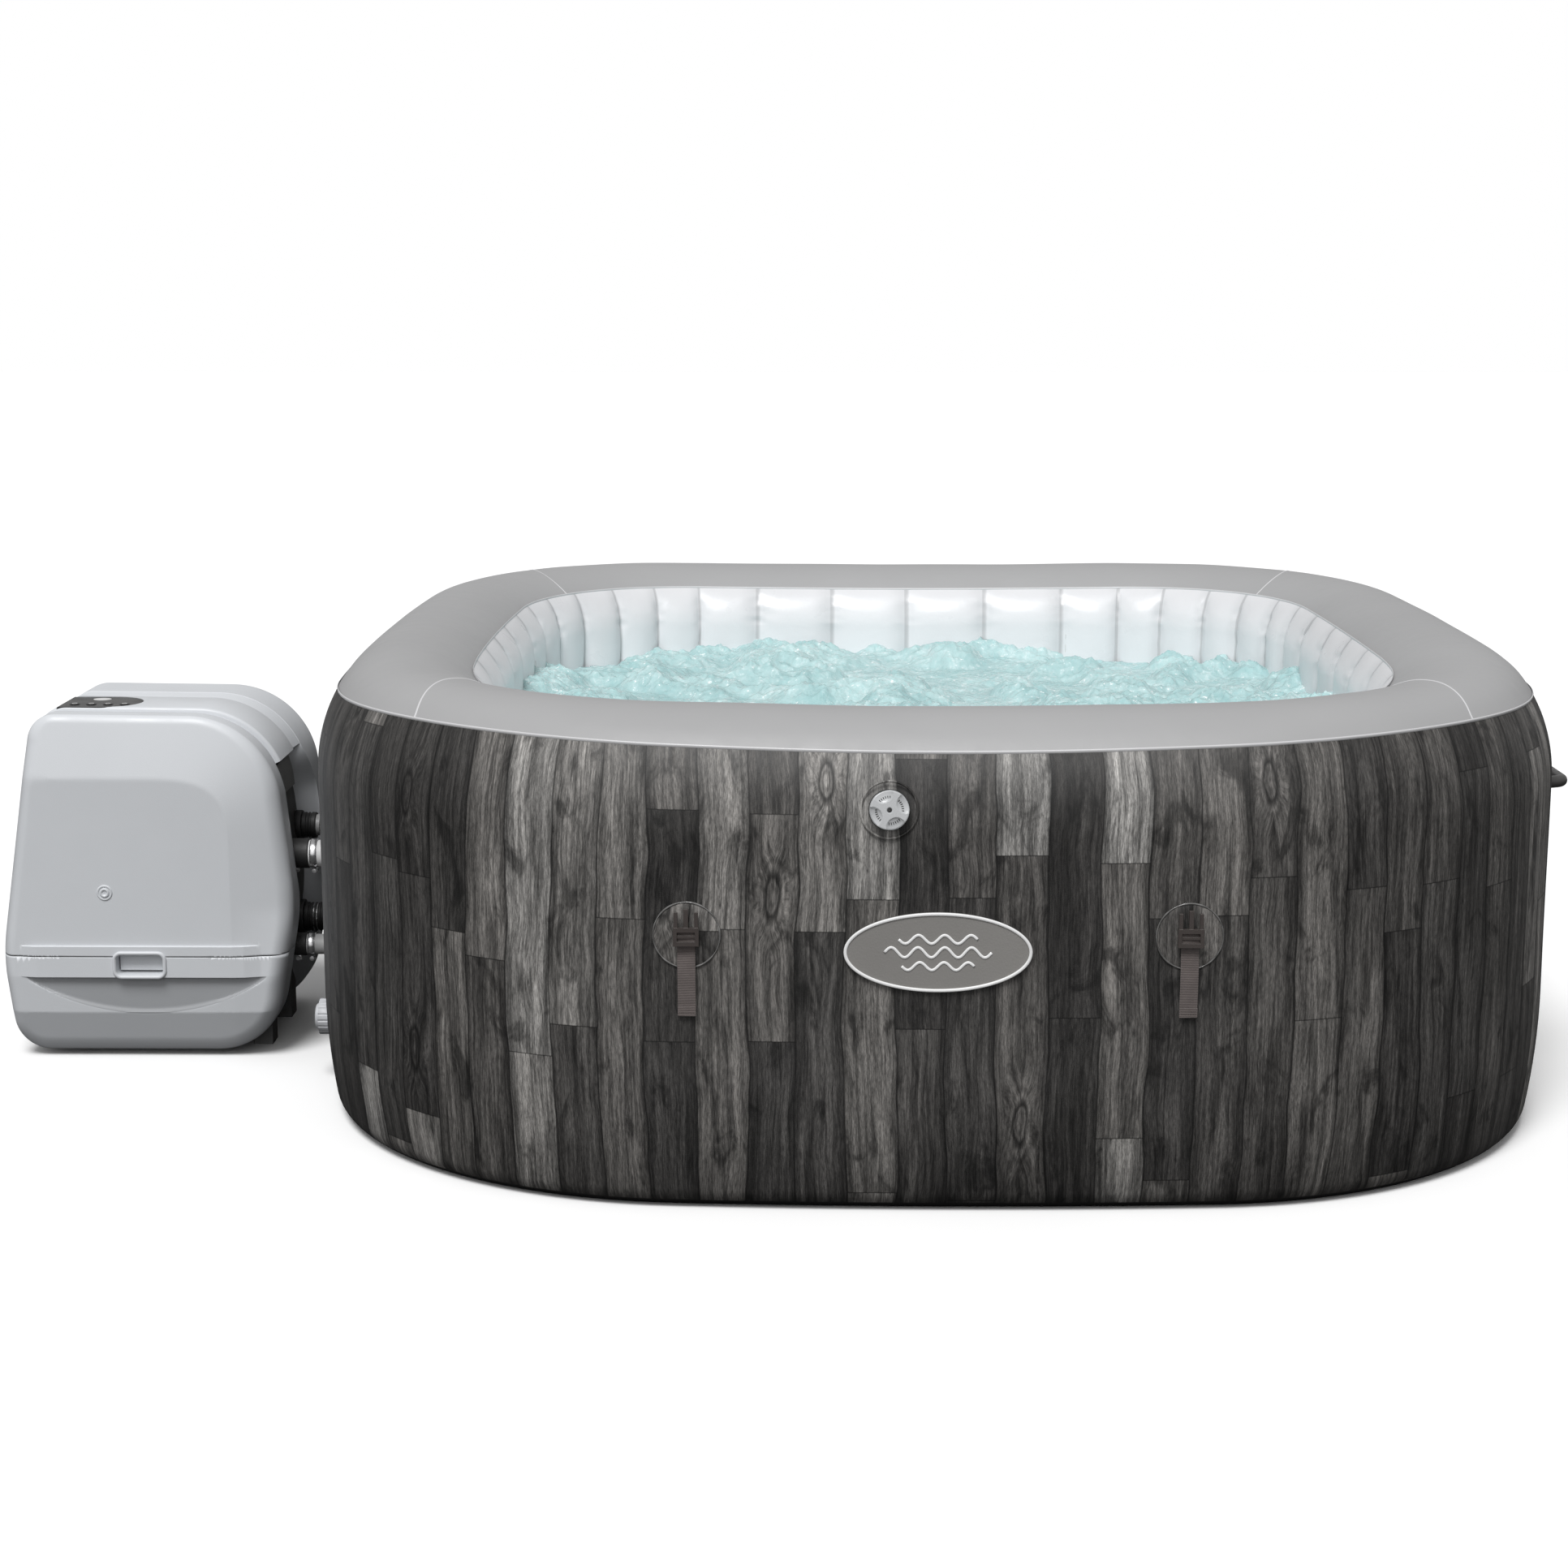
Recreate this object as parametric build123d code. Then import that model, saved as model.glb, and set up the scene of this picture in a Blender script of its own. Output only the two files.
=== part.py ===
from build123d import *
import math
import os

os.makedirs("parts", exist_ok=True)

# An inflatable square hot tub with its pump unit standing beside it, in millimetres.
# The origin is on the floor under the middle of the tub, +X to the right, +Z up.
# The front faces -Y and the pump unit stands at -X.

# ---------------------------------------------------------------- driving sizes
HALF = 900.0            # half width of the tub at its widest
HEIGHT = 680.0          # height of the rim's crown
SIDE_RADIUS = 6000.0    # each side bows out on this radius
CORNER_RADIUS = 569.0   # plan radius of the four corners
SHEET = 1.2             # thickness of the vinyl sheets
WALL_SHEET = 2.2        # the outer wall is a thicker, laminated sheet
GAP = 0.3               # gap between sheets that are welded edge to edge

BASE_INSET = 48.0       # the base is this much smaller than the widest line
BASE_ROUND = 35.0       # small radius at the base weld
BELLY_Z = 190.0         # the wall is upright from here
SHOULDER_Z = 500.0      # to here
CROWN_INSET = 125.0
CROWN_RADIUS = 100.0    # outer half of the crown
RIM_SEAM_Z = 620.0      # weld between the printed wall and the rim
INNER_CROWN_RADIUS = 160.0
INNER_SEAM_INSET = 225.0
LINER_RADIUS = 88.0     # the liner's roll under the inner seam
LINER_FOOT_INSET = 228.0
FLOOR_Z = 3.0           # top of the tub's floor sheet

WEBS_PER_SIDE = 6
WEBS_PER_CORNER = 4
WEB_THICKNESS = 1.0

JET_Z = 180.0
JET_SPACING = 226.0     # jets stand this far either side of each wall's middle
RING_INSET = 176.0
RING_RADIUS = 18.0
RING_Z = 240.0

FRONT_X = -12.0         # middle of the fittings on the front wall
BADGE_Z = 353.0
BADGE_SIZE = (240.0, 104.0)
STRAP_OFFSET = 320.0
STRAP_Z = 372.0
VALVE_OFFSET = -63.0
VALVE_Z = 536.0
DRAIN_Y = -285.0
DRAIN_Z = 98.0
HANDLE_OFFSET = 240.0
HANDLE_Z = 465.0

# hose couplings on the pump side: name -> (Y, Z, outer radius of the hose)
HOSES = {
    "hose_upper_front": (-90.0, 308.0, 21.0),
    "hose_upper_rear": (66.0, 322.0, 17.0),
    "hose_lower_front": (-90.0, 162.0, 16.0),
    "hose_lower_rear": (66.0, 170.0, 21.0),
}
HOSE_WALL = 3.0

# pump unit: its outline in the XZ plane, as corners with their radii
PUMP_CORNERS = [
    ((-1366.0, 540.0), 45.0),
    ((-1000.0, 536.0), 140.0),
    ((-969.0, 236.0), 300.0),
    ((-1008.0, 10.0), 105.0),
    ((-1407.0, 10.0), 55.0),
    ((-1424.0, 165.0), 300.0),
]
PUMP_FRONT = -198.0
PUMP_BACK = 200.0
CHANNEL_FRONT = -115.0   # the recessed channel between the shells, along Y
CHANNEL_BACK = 72.0      # above the shoulder
CHANNEL_BACK_LOW = 125.0 # below it, behind the rear hoses
CHANNEL_STEP_Z = 420.0
CHANNEL_LEFT = -1372.0
CHANNEL_INSET = 28.0
SHELL = 3.0
SPLIT_Z = 168.0          # parting line of the lower front cover
COVER_BACK = -100.0      # the lower cover reaches back to here
GLAND_Z = 90.0
LATCH_X = -1205.0
LATCH_Z = 155.0
LATCH_SIZE = (84.0, 44.0)

NODES = {}


def keep(name, shape):
    """Writes one node's STEP file from a shape or a list of separate solids."""
    solids = [s for item in (shape if isinstance(shape, list) else [shape]) for s in item.solids()]
    NODES[name] = solids
    export_step(Compound(children=solids) if len(solids) > 1 else solids[0], f"parts/{name}.step")


def rod(start, axis, radius, length):
    """A cylinder that starts at a point and runs along an axis."""
    frame = Plane(origin=start, z_dir=axis)
    return frame * Cylinder(radius, length, align=(Align.CENTER, Align.CENTER, Align.MIN))


def tube(start, axis, outer, inner, length):
    """A pipe: a cylinder with a bore right through it."""
    lead = 1.0
    back = Vector(*start) - Vector(*axis).normalized() * lead
    return rod(start, axis, outer, length) - rod(tuple(back), axis, inner, length + 2 * lead)


def block(low, high):
    """A box between two corners."""
    size = [h - l for l, h in zip(low, high)]
    return Pos(*low) * Box(*size, align=(Align.MIN, Align.MIN, Align.MIN))


def fuse(parts):
    """Joins overlapping solids into one."""
    whole = parts[0]
    for piece in parts[1:]:
        whole = whole + piece
    return whole


# ---------------------------------------------------------------- the tub's plan
SIDE_OFFSET = SIDE_RADIUS - HALF
CORNER_AT = (math.sqrt(2 * (SIDE_RADIUS - CORNER_RADIUS) ** 2 - SIDE_OFFSET ** 2) - SIDE_OFFSET) / 2
SIDE_HALF_ANGLE = math.degrees(math.atan2(CORNER_AT, CORNER_AT + SIDE_OFFSET))
CORNER_HALF_ANGLE = 45.0 - SIDE_HALF_ANGLE


def plan_arcs():
    """The eight arcs of the plan: centre, direction of the middle, half span and radius."""
    arcs = []
    for quarter in range(4):
        facing = -90.0 + 90.0 * quarter
        turn = math.radians(facing)
        centre = (-SIDE_OFFSET * math.cos(turn), -SIDE_OFFSET * math.sin(turn))
        arcs.append((centre, facing, SIDE_HALF_ANGLE, SIDE_RADIUS))
        diagonal = facing + 45.0
        corner = math.radians(diagonal)
        reach = CORNER_AT * math.sqrt(2)
        centre = (reach * math.cos(corner), reach * math.sin(corner))
        arcs.append((centre, diagonal, CORNER_HALF_ANGLE, CORNER_RADIUS))
    return arcs


def radial_plane(centre, angle):
    """The upright plane through an arc's centre: local x runs outwards and local y up."""
    turn = math.radians(angle)
    outward = (math.cos(turn), math.sin(turn), 0)
    return Plane(origin=(*centre, 0), x_dir=outward, z_dir=(math.sin(turn), -math.cos(turn), 0))


def swept(section, arc, start, span):
    """Revolves a wall section, drawn in inset and height, along part of one plan arc."""
    centre, _, _, radius = arc
    face = radial_plane(centre, start) * section(radius)
    return revolve(face, axis=Axis((*centre, 0), (0, 0, 1)), revolution_arc=span)


def all_round(section):
    """Revolves a wall section right round the tub."""
    return fuse([swept(section, arc, arc[1] - arc[2], 2 * arc[2]) for arc in plan_arcs()])


def one_side(section, quarter):
    """Revolves a wall section along one side and half of each corner beside it."""
    arcs = plan_arcs()
    side = arcs[2 * quarter]
    after = arcs[2 * quarter + 1]
    before = arcs[(2 * quarter - 1) % 8]
    trim = math.degrees(GAP / 2 / CORNER_RADIUS)
    half = CORNER_HALF_ANGLE - trim
    return fuse([
        swept(section, side, side[1] - side[2], 2 * side[2]),
        swept(section, after, after[1] - after[2], half),
        swept(section, before, before[1] + trim, half),
    ])


def plate(inset, low, high):
    """A flat sheet with the tub's plan, smaller by an inset."""
    edges = []
    for centre, facing, half, radius in plan_arcs():
        arc = CenterArc((*centre, 0), radius - inset, facing - half, 2 * half)
        edges.append(arc)
    return Pos(0, 0, low) * extrude(make_face(Wire(edges)), high - low)


def side_point(along, inset, height):
    """A point on the front wall, 'along' from its middle."""
    y = -(math.sqrt((SIDE_RADIUS - inset) ** 2 - along ** 2) - SIDE_OFFSET)
    return (along, y, height)


# ---------------------------------------------------------------- the tub's section
# Each arc of the section is (centre inset, centre height, radius, start angle, end angle).
# Angle 0 points out of the tub and 90 points up.
BELLY_RISE = BELLY_Z - BASE_ROUND
BELLY_RADIUS = (BELLY_RISE ** 2 + BASE_INSET ** 2 - BASE_ROUND ** 2) / (2 * (BASE_INSET - BASE_ROUND))
BELLY_ANGLE = math.degrees(math.atan2(BELLY_RISE, BELLY_RADIUS - BASE_INSET))
RISE = HEIGHT - SHOULDER_Z - CROWN_RADIUS
SHOULDER_ANGLE = 2 * math.degrees(math.atan2(CROWN_INSET - CROWN_RADIUS, RISE))
SHOULDER_RADIUS = CROWN_RADIUS + RISE / math.sin(math.radians(SHOULDER_ANGLE))
SEAM_ANGLE = math.degrees(math.asin((RIM_SEAM_Z - SHOULDER_Z) / SHOULDER_RADIUS))
INNER_ANGLE = 180 - math.degrees(math.acos((INNER_SEAM_INSET - CROWN_INSET) / INNER_CROWN_RADIUS))
LINER_CENTRE = (
    INNER_SEAM_INSET + LINER_RADIUS * math.cos(math.radians(INNER_ANGLE)),
    HEIGHT - INNER_CROWN_RADIUS * (1 - math.sin(math.radians(INNER_ANGLE)))
    - LINER_RADIUS * math.sin(math.radians(INNER_ANGLE)),
)
LINER_INSET = LINER_CENTRE[0] + LINER_RADIUS
LINER_DROP = LINER_CENTRE[1] - FLOOR_Z - GAP
LINER_LEAN = LINER_INSET - LINER_FOOT_INSET
LINER_BULGE = (LINER_DROP ** 2 + LINER_LEAN ** 2) / (2 * LINER_LEAN)
LINER_ANGLE = math.degrees(math.asin(LINER_DROP / LINER_BULGE))

WALL_ARCS = [
    (BASE_INSET, BASE_ROUND, BASE_ROUND, -90.0, -BELLY_ANGLE),
    (BELLY_RADIUS, BELLY_Z, BELLY_RADIUS, -BELLY_ANGLE, 0.0),
    (SHOULDER_RADIUS, SHOULDER_Z, SHOULDER_RADIUS, 0.0, SEAM_ANGLE),
]
OUTER_STEP = math.degrees(GAP / SHOULDER_RADIUS)
INNER_STEP = math.degrees(GAP / INNER_CROWN_RADIUS)
RIM_ARCS = [
    (SHOULDER_RADIUS, SHOULDER_Z, SHOULDER_RADIUS, SEAM_ANGLE + OUTER_STEP, SHOULDER_ANGLE),
    (CROWN_INSET, HEIGHT - CROWN_RADIUS, CROWN_RADIUS, SHOULDER_ANGLE, 90.0),
    (CROWN_INSET, HEIGHT - INNER_CROWN_RADIUS, INNER_CROWN_RADIUS, 90.0, INNER_ANGLE - INNER_STEP),
]
LINER_ARCS = [
    (*LINER_CENTRE, LINER_RADIUS, INNER_ANGLE, 180.0),
    (LINER_INSET - LINER_BULGE, LINER_CENTRE[1], LINER_BULGE, 180.0, 180.0 + LINER_ANGLE),
]


def sheet_section(arcs, thickness=SHEET):
    """A function that draws a sheet's section for a plan arc of any radius."""

    def place(radius, arc, angle, cut):
        inset, height, size, _, _ = arc
        turn = math.radians(angle)
        return (radius - inset + (size - cut) * math.cos(turn), height + (size - cut) * math.sin(turn))

    def section(radius):
        lines = []
        for cut, order in ((0.0, arcs), (thickness, arcs[::-1])):
            for arc in order:
                first, last = (arc[3], arc[4]) if order is arcs else (arc[4], arc[3])
                middle = (first + last) / 2
                spots = [place(radius, arc, angle, cut) for angle in (first, middle, last)]
                if lines and (lines[-1] @ 1 - Vector(*spots[0])).length > 1e-6:
                    lines.append(Line(lines[-1] @ 1, spots[0]))
                lines.append(ThreePointArc(*spots))
        lines.append(Line(lines[-1] @ 1, lines[0] @ 0))
        return make_face(Wire(lines))

    return section


def inset_at(height, arcs=WALL_ARCS):
    """How far the outer wall stands in from its widest line at a height."""
    for inset, centre, size, start, end in arcs:
        low = centre + size * math.sin(math.radians(start))
        high = centre + size * math.sin(math.radians(end))
        if low - 1e-6 <= height <= high + 1e-6:
            return inset - math.sqrt(size ** 2 - (height - centre) ** 2)
    return 0.0


def liner_inset(height):
    """How far the liner's wet face stands in from the widest line at a height."""
    drop = LINER_CENTRE[1] - height
    return LINER_INSET - LINER_BULGE + math.sqrt(LINER_BULGE ** 2 - drop ** 2)


QUARTERS = {"front": 0, "right": 1, "back": 2, "left": 3}


def facing(shape, quarter):
    """Turns something made for the front wall to another wall."""
    return Rot(0, 0, 90 * quarter) * shape


# ---------------------------------------------------------------- fittings' places
COUPLING_OUT = -HALF - 8.0      # outer face of the pump-side couplings
COUPLING_IN = -HALF + 262.0     # inner face, just past the liner
FRONT_STRAPS = [("front", FRONT_X - STRAP_OFFSET), ("front", FRONT_X + STRAP_OFFSET)]
OTHER_STRAPS = [("right", -STRAP_OFFSET), ("right", STRAP_OFFSET),
                ("back", -STRAP_OFFSET), ("back", STRAP_OFFSET)]
JET_PLACES = [(quarter, sign * JET_SPACING) for quarter in range(4) for sign in (-1, 1)]


def valve_frame():
    """The plane of the air valve, on the leaning part of the front wall."""
    lean = math.degrees(math.asin((VALVE_Z - SHOULDER_Z) / SHOULDER_RADIUS))
    inset = SHOULDER_RADIUS * (1 - math.cos(math.radians(lean)))
    along = FRONT_X + VALVE_OFFSET
    turn = math.radians(lean)
    place = side_point(along, inset, VALVE_Z)
    return Plane(origin=place, x_dir=(1, 0, 0), z_dir=(0, -math.cos(turn), math.sin(turn)))


def wall_spot(along, height, lift=0.3):
    """A point just off the upright front wall, and the wall's outward direction there."""
    lean = along / SIDE_RADIUS
    out = (math.sin(lean), -math.cos(lean), 0)
    x, y, z = side_point(along, 0, height)
    return (x + lift * out[0], y + lift * out[1], z), out


def through_wall_cuts(margin):
    """Cylinders along every fitting that passes through the wall, larger by a margin."""
    cuts = []
    for y, z, radius in HOSES.values():
        cuts.append(rod((-HALF - 60, y, z), (1, 0, 0), radius + 6 + margin, 380))
    cuts.append(rod((-HALF - 60, DRAIN_Y, DRAIN_Z), (1, 0, 0), 20 + margin, 380))
    cuts.append(valve_frame() * Pos(0, 0, -30) * Cylinder(23 + margin, 100))
    return cuts


def jet_cut(quarter, along, margin):
    """A cylinder where a jet passes through the liner, larger by a margin."""
    start = (along, -HALF + 190, JET_Z)
    return facing(rod(start, (0, 1, 0), 25 + margin, 120), quarter)


# ---------------------------------------------------------------- tub sheets
def make_sheets():
    """The printed outer wall, the four rim panels, the liner, the floor and the base."""
    wall = all_round(sheet_section(WALL_ARCS, WALL_SHEET))
    for cut in through_wall_cuts(0.5):
        wall = wall - cut
    keep("outer_wall_skin", wall)

    for name, quarter in QUARTERS.items():
        keep(f"rim_panel_{name}", one_side(sheet_section(RIM_ARCS), quarter))

    liner = all_round(sheet_section(LINER_ARCS))
    for cut in through_wall_cuts(0.5)[:-1]:
        liner = liner - cut
    for quarter, along in JET_PLACES:
        liner = liner - jet_cut(quarter, along, 0.5)
    keep("wall_liner", liner)

    keep("floor_liner", plate(LINER_FOOT_INSET + 1.0, FLOOR_Z - SHEET, FLOOR_Z))
    keep("base_sheet", plate(BASE_INSET + GAP, 0.0, SHEET))


def make_webs():
    """Upright webs that tie the wall's two skins together, with holes that let the air through.
    A web is left out where a fitting passes through the wall in its place."""
    low, high = 60.0, 560.0
    clear = 1.0
    webs = []
    cuts = through_wall_cuts(2.0)
    for centre, middle, half, radius in plan_arcs():
        count = WEBS_PER_SIDE if radius == SIDE_RADIUS else WEBS_PER_CORNER
        for index in range(count):
            angle = middle - half + 2 * half * (index + 0.5) / count
            outer = [(radius - inset_at(z) - WALL_SHEET - clear, z) for z in (low, BELLY_Z, SHOULDER_Z, high)]
            inner = [(radius - liner_inset(z) + SHEET + clear, z) for z in (high, 320.0, low)]
            face = make_face(Polyline(*outer, *inner, close=True))
            face = face - Pos(radius - RING_INSET, RING_Z) * Circle(RING_RADIUS + 2)
            for z in (130.0, 350.0, 460.0):
                face = face - Pos(radius - LINER_INSET / 2, z) * Circle(30)
            web = extrude(radial_plane(centre, angle) * face, WEB_THICKNESS / 2, both=True)
            if not any((web & cut).solids() for cut in cuts):
                webs.append(web)
    keep("wall_webs", webs)


# ---------------------------------------------------------------- water fittings in the tub
def make_jets():
    """The water ring in the wall, the eight jets it feeds and the bubble channel round the floor."""
    ring_outer = all_round(lambda radius: Pos(radius - RING_INSET, RING_Z) * Circle(RING_RADIUS))
    ring_bore = all_round(lambda radius: Pos(radius - RING_INSET, RING_Z) * Circle(RING_RADIUS - 2.5))
    keep("jet_supply_ring", ring_outer - ring_bore)

    housings = []
    for quarter, along in JET_PLACES:
        wet = side_point(along, liner_inset(JET_Z), 0)[1]
        back = side_point(along, RING_INSET, 0)[1] - 16
        body = rod((along, back, JET_Z), (0, 1, 0), 24, wet + 13 - back)
        flange = rod((along, wet + 5.0, JET_Z), (0, 1, 0), 38, 6)
        feed_length = RING_Z - RING_RADIUS - 1.0 - JET_Z
        feed = rod((along, back + 16, JET_Z), (0, 0, 1), 12, feed_length)
        bore = rod((along, back + 4, JET_Z), (0, 1, 0), 15, 200)
        nozzle = tube((along, back + 36, JET_Z), (0, 1, 0), 14.7, 7, wet + 9 - back - 36)
        housings.append(facing(body + flange + feed - bore, quarter))
        housings.append(facing(nozzle, quarter))
    keep("jet_housings", housings)

    def channel(radius):
        foot = radius - LINER_FOOT_INSET - 1.0
        outline = [(foot - 2, FLOOR_Z + 0.3), (foot - 34, FLOOR_Z + 0.3), (foot - 34, 24), (foot - 10, 44)]
        hollow = [(foot - 6, FLOOR_Z + 3), (foot - 30, FLOOR_Z + 3), (foot - 30, 21), (foot - 12, 37)]
        return make_face(Polyline(*outline, close=True)) - make_face(Polyline(*hollow, close=True))

    strip = all_round(channel)
    for centre, middle, half, radius in plan_arcs():
        holes = 6 if radius == SIDE_RADIUS else 5
        for index in range(holes):
            angle = math.radians(middle - half + 2 * half * (index + 0.5) / holes)
            reach = radius - LINER_FOOT_INSET - 40
            start = (centre[0] + reach * math.cos(angle), centre[1] + reach * math.sin(angle), 16)
            strip = strip - rod(start, (math.cos(angle), math.sin(angle), 0), 2.5, 12)
    keep("air_jet_channel", strip)


def make_couplings():
    """The hose couplings through the wall, the suction screens and the filter with its cover."""
    flanges = []
    screens = []
    for name, (y, z, radius) in HOSES.items():
        pipe = radius + 4
        bore = radius - HOSE_WALL - 2
        body = rod((COUPLING_OUT, y, z), (1, 0, 0), pipe, COUPLING_IN + 6 - COUPLING_OUT)
        outer = rod((COUPLING_OUT, y, z), (1, 0, 0), pipe + 14, 6.5)
        nut = rod((COUPLING_IN - 2, y, z), (1, 0, 0), pipe + 14, 8)
        spigot = rod((COUPLING_OUT - 22, y, z), (1, 0, 0), radius - HOSE_WALL - 0.2, 24)
        shape = fuse([body, outer, nut, spigot])
        flanges.append(shape - rod((COUPLING_OUT - 30, y, z), (1, 0, 0), bore - 1.5, 400))
        if name.startswith("hose_lower"):
            face = COUPLING_IN + 6.5
            dish = rod((face, y, z), (1, 0, 0), 36, 16) - rod((face - 1, y, z), (1, 0, 0), 33, 14)
            for row in range(-2, 3):
                slot = block((face + 8, y - 26, z + row * 10 - 2), (face + 30, y + 26, z + row * 10 + 2))
                dish = dish - slot
            screens.append(dish)
    keep("wall_flanges", flanges)
    keep("suction_screens", screens)

    y, z, _ = HOSES["hose_upper_front"]
    start = COUPLING_IN + 6.5
    cartridge = tube((start + 1, y, z), (1, 0, 0), 48, 22, 78)
    ends = [tube((start + 0.5 + shift, y, z), (1, 0, 0), 52, 20, 4) for shift in (0, 76)]
    keep("filter_cartridge", fuse([cartridge, *ends]))
    cover = rod((start + 0.3, y, z), (1, 0, 0), 60, 92) - rod((start - 1, y, z), (1, 0, 0), 56, 87)
    for turn in range(12):
        angle = math.radians(turn * 30)
        place = (0, y + 58 * math.cos(angle), z + 58 * math.sin(angle))
        window = Pos(start + 42, place[1], place[2]) * Box(56, 12, 12)
        cover = cover - window
    grip = block((start + 90, y - 34, z - 5), (start + 106, y + 34, z + 5))
    keep("filter_cover", cover + grip)


def make_drain():
    """The drain pipe through the wall and its ribbed screw cap."""
    wall = -side_point(DRAIN_Y, inset_at(DRAIN_Z), 0)[1]
    out = -wall - 6.5
    body = rod((out - 12, DRAIN_Y, DRAIN_Z), (1, 0, 0), 17, 286)
    flange = rod((out - 2, DRAIN_Y, DRAIN_Z), (1, 0, 0), 30, 4)
    inner = rod((out + 268, DRAIN_Y, DRAIN_Z), (1, 0, 0), 30, 6)
    bore = rod((out - 20, DRAIN_Y, DRAIN_Z), (1, 0, 0), 12, 300)
    keep("drain_body", fuse([body, flange, inner]) - bore)
    cap = rod((out - 3.2, DRAIN_Y, DRAIN_Z), (-1, 0, 0), 27, 15)
    dome = rod((out - 17, DRAIN_Y, DRAIN_Z), (-1, 0, 0), 20, 7)
    dome = fillet(dome.edges().sort_by(Axis.X)[0], 4)
    hollow = rod((out, DRAIN_Y, DRAIN_Z), (-1, 0, 0), 17.3, 14)
    cap = cap + dome - hollow
    for turn in range(18):
        angle = math.radians(turn * 20)
        at = (out - 3, DRAIN_Y + 28 * math.cos(angle), DRAIN_Z + 28 * math.sin(angle))
        cap = cap - rod(at, (-1, 0, 0), 2.0, 20)
    keep("drain_cap", cap)


def make_air_valve():
    """The air valve: seat, sprung stem and screw cap, drawn flat and then set on the leaning wall."""
    frame = valve_frame()
    body = Pos(0, 0, -18) * Cylinder(22.5, 40)
    body = body + Pos(0, 0, 1.2) * Cylinder(37, 1.6)
    body = body + Pos(0, 0, 5) * Cylinder(22.5, 6)
    body = body - Pos(0, 0, -12) * Cylinder(17, 44)
    for turn in (0, 60, 120):
        body = body + Pos(0, 0, -36) * Rot(0, 0, turn) * Box(36, 4, 3)
    body = body - Pos(0, 0, -36) * Cylinder(3.3, 10)
    keep("air_valve_body", frame * body)

    stem = Pos(0, 0, -24) * Cylinder(3.2, 46)
    stem = stem + Pos(0, 0, -2) * Cylinder(8, 3)
    stem = stem + Pos(0, 0, -40.2) * Cylinder(19, 3)
    keep("air_valve_stem", frame * stem)

    turns, pitch, wire = 5, 3.4, 0.7
    path = Helix(pitch=pitch, height=turns * pitch, radius=6.0)
    spring = sweep(Plane(origin=path @ 0, z_dir=path % 0) * Circle(wire), path=path)
    keep("air_valve_spring", frame * Pos(0, 0, -21.5) * spring)

    cap = Pos(0, 0, 10.2) * Cylinder(26.5, 11)
    cap = cap - Pos(0, 0, 7) * Cylinder(22.9, 10)
    cap = cap - Cylinder(3.0, 60)
    for turn in range(4):
        scoop = Rot(0, 0, 90 * turn + 20) * Pos(23.5, 0, 17.0) * Sphere(9.5)
        cap = cap - scoop
    keep("air_valve_cap", frame * cap)


# ---------------------------------------------------------------- trim on the tub's outside
def make_trim():
    """The oval badge, the welded strap patches and the carry handles."""
    wide, tall = BADGE_SIZE
    face = Plane(origin=(FRONT_X, -HALF - 0.4, BADGE_Z), x_dir=(1, 0, 0), z_dir=(0, -1, 0))
    keep("badge_plate", extrude(face * Ellipse(wide / 2, tall / 2), 3.0))

    patches = []
    for side, along in FRONT_STRAPS + OTHER_STRAPS:
        foot, out = wall_spot(along, STRAP_Z)
        x, y, z = side_point(along, 0, STRAP_Z)
        disc = rod(foot, out, 43, 1.3)
        stitched = block((x - 11.5, y - 5.8, z - 26), (x + 11.5, y - 0.9, z - 14))
        tail = block((x - 11.5, y - 5.8, z - 104), (x + 11.5, y - 4.2, z + 8))
        patches.append(facing(fuse([disc, stitched, tail]), QUARTERS[side]))
    keep("strap_patches", patches)

    handles = []
    stand, grip, pad = 38.0, 9.0, 1.4
    for side in ("right", "back"):
        for along in (-HANDLE_OFFSET, HANDLE_OFFSET):
            x, y, z = side_point(along, 0, HANDLE_Z)
            pads = []
            for shift in (-75, 75):
                foot, out = wall_spot(along + shift, HANDLE_Z)
                pads.append(rod(foot, out, 22, pad))
            left = side_point(along - 75, 0, 0)[1] + 2
            right = side_point(along + 75, 0, 0)[1] + 2
            path = FilletPolyline((x - 75, left, z), (x - 58, y - stand, z), (x + 58, y - stand, z),
                                  (x + 75, right, z), radius=18)
            arch = sweep(Plane(origin=path @ 0, z_dir=path % 0) * Circle(grip), path=path)
            handles.append(facing(fuse([arch - plate(-0.5, z - 40, z + 40), *pads]), QUARTERS[side]))
    keep("carry_handles", handles)


def make_buckles():
    """The half of a side-release buckle that stands on each strap."""
    for side, along in FRONT_STRAPS + OTHER_STRAPS:
        x, y, z = side_point(along, 0, STRAP_Z)
        frame = block((x - 16.5, y - 13.5, z - 12), (x + 16.5, y - 7.0, z + 12))
        frame = frame - block((x - 11.5, y - 20, z - 6), (x + 11.5, y, z + 6))
        bar = block((x - 14, y - 12, z - 2), (x + 14, y - 8, z + 2))
        prong = block((x - 3, y - 12.5, z + 10), (x + 3, y - 8.0, z + 36))
        arms = []
        for middle in (x - 13, x + 13):
            arms.append(block((middle - 2.5, y - 12.5, z + 10), (middle + 2.5, y - 8.0, z + 32)))
        where = "left" if along < 0 else "right"
        keep(f"buckle_{side}_{where}", facing(fuse([frame, bar, prong, *arms]), QUARTERS[side]))


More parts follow.
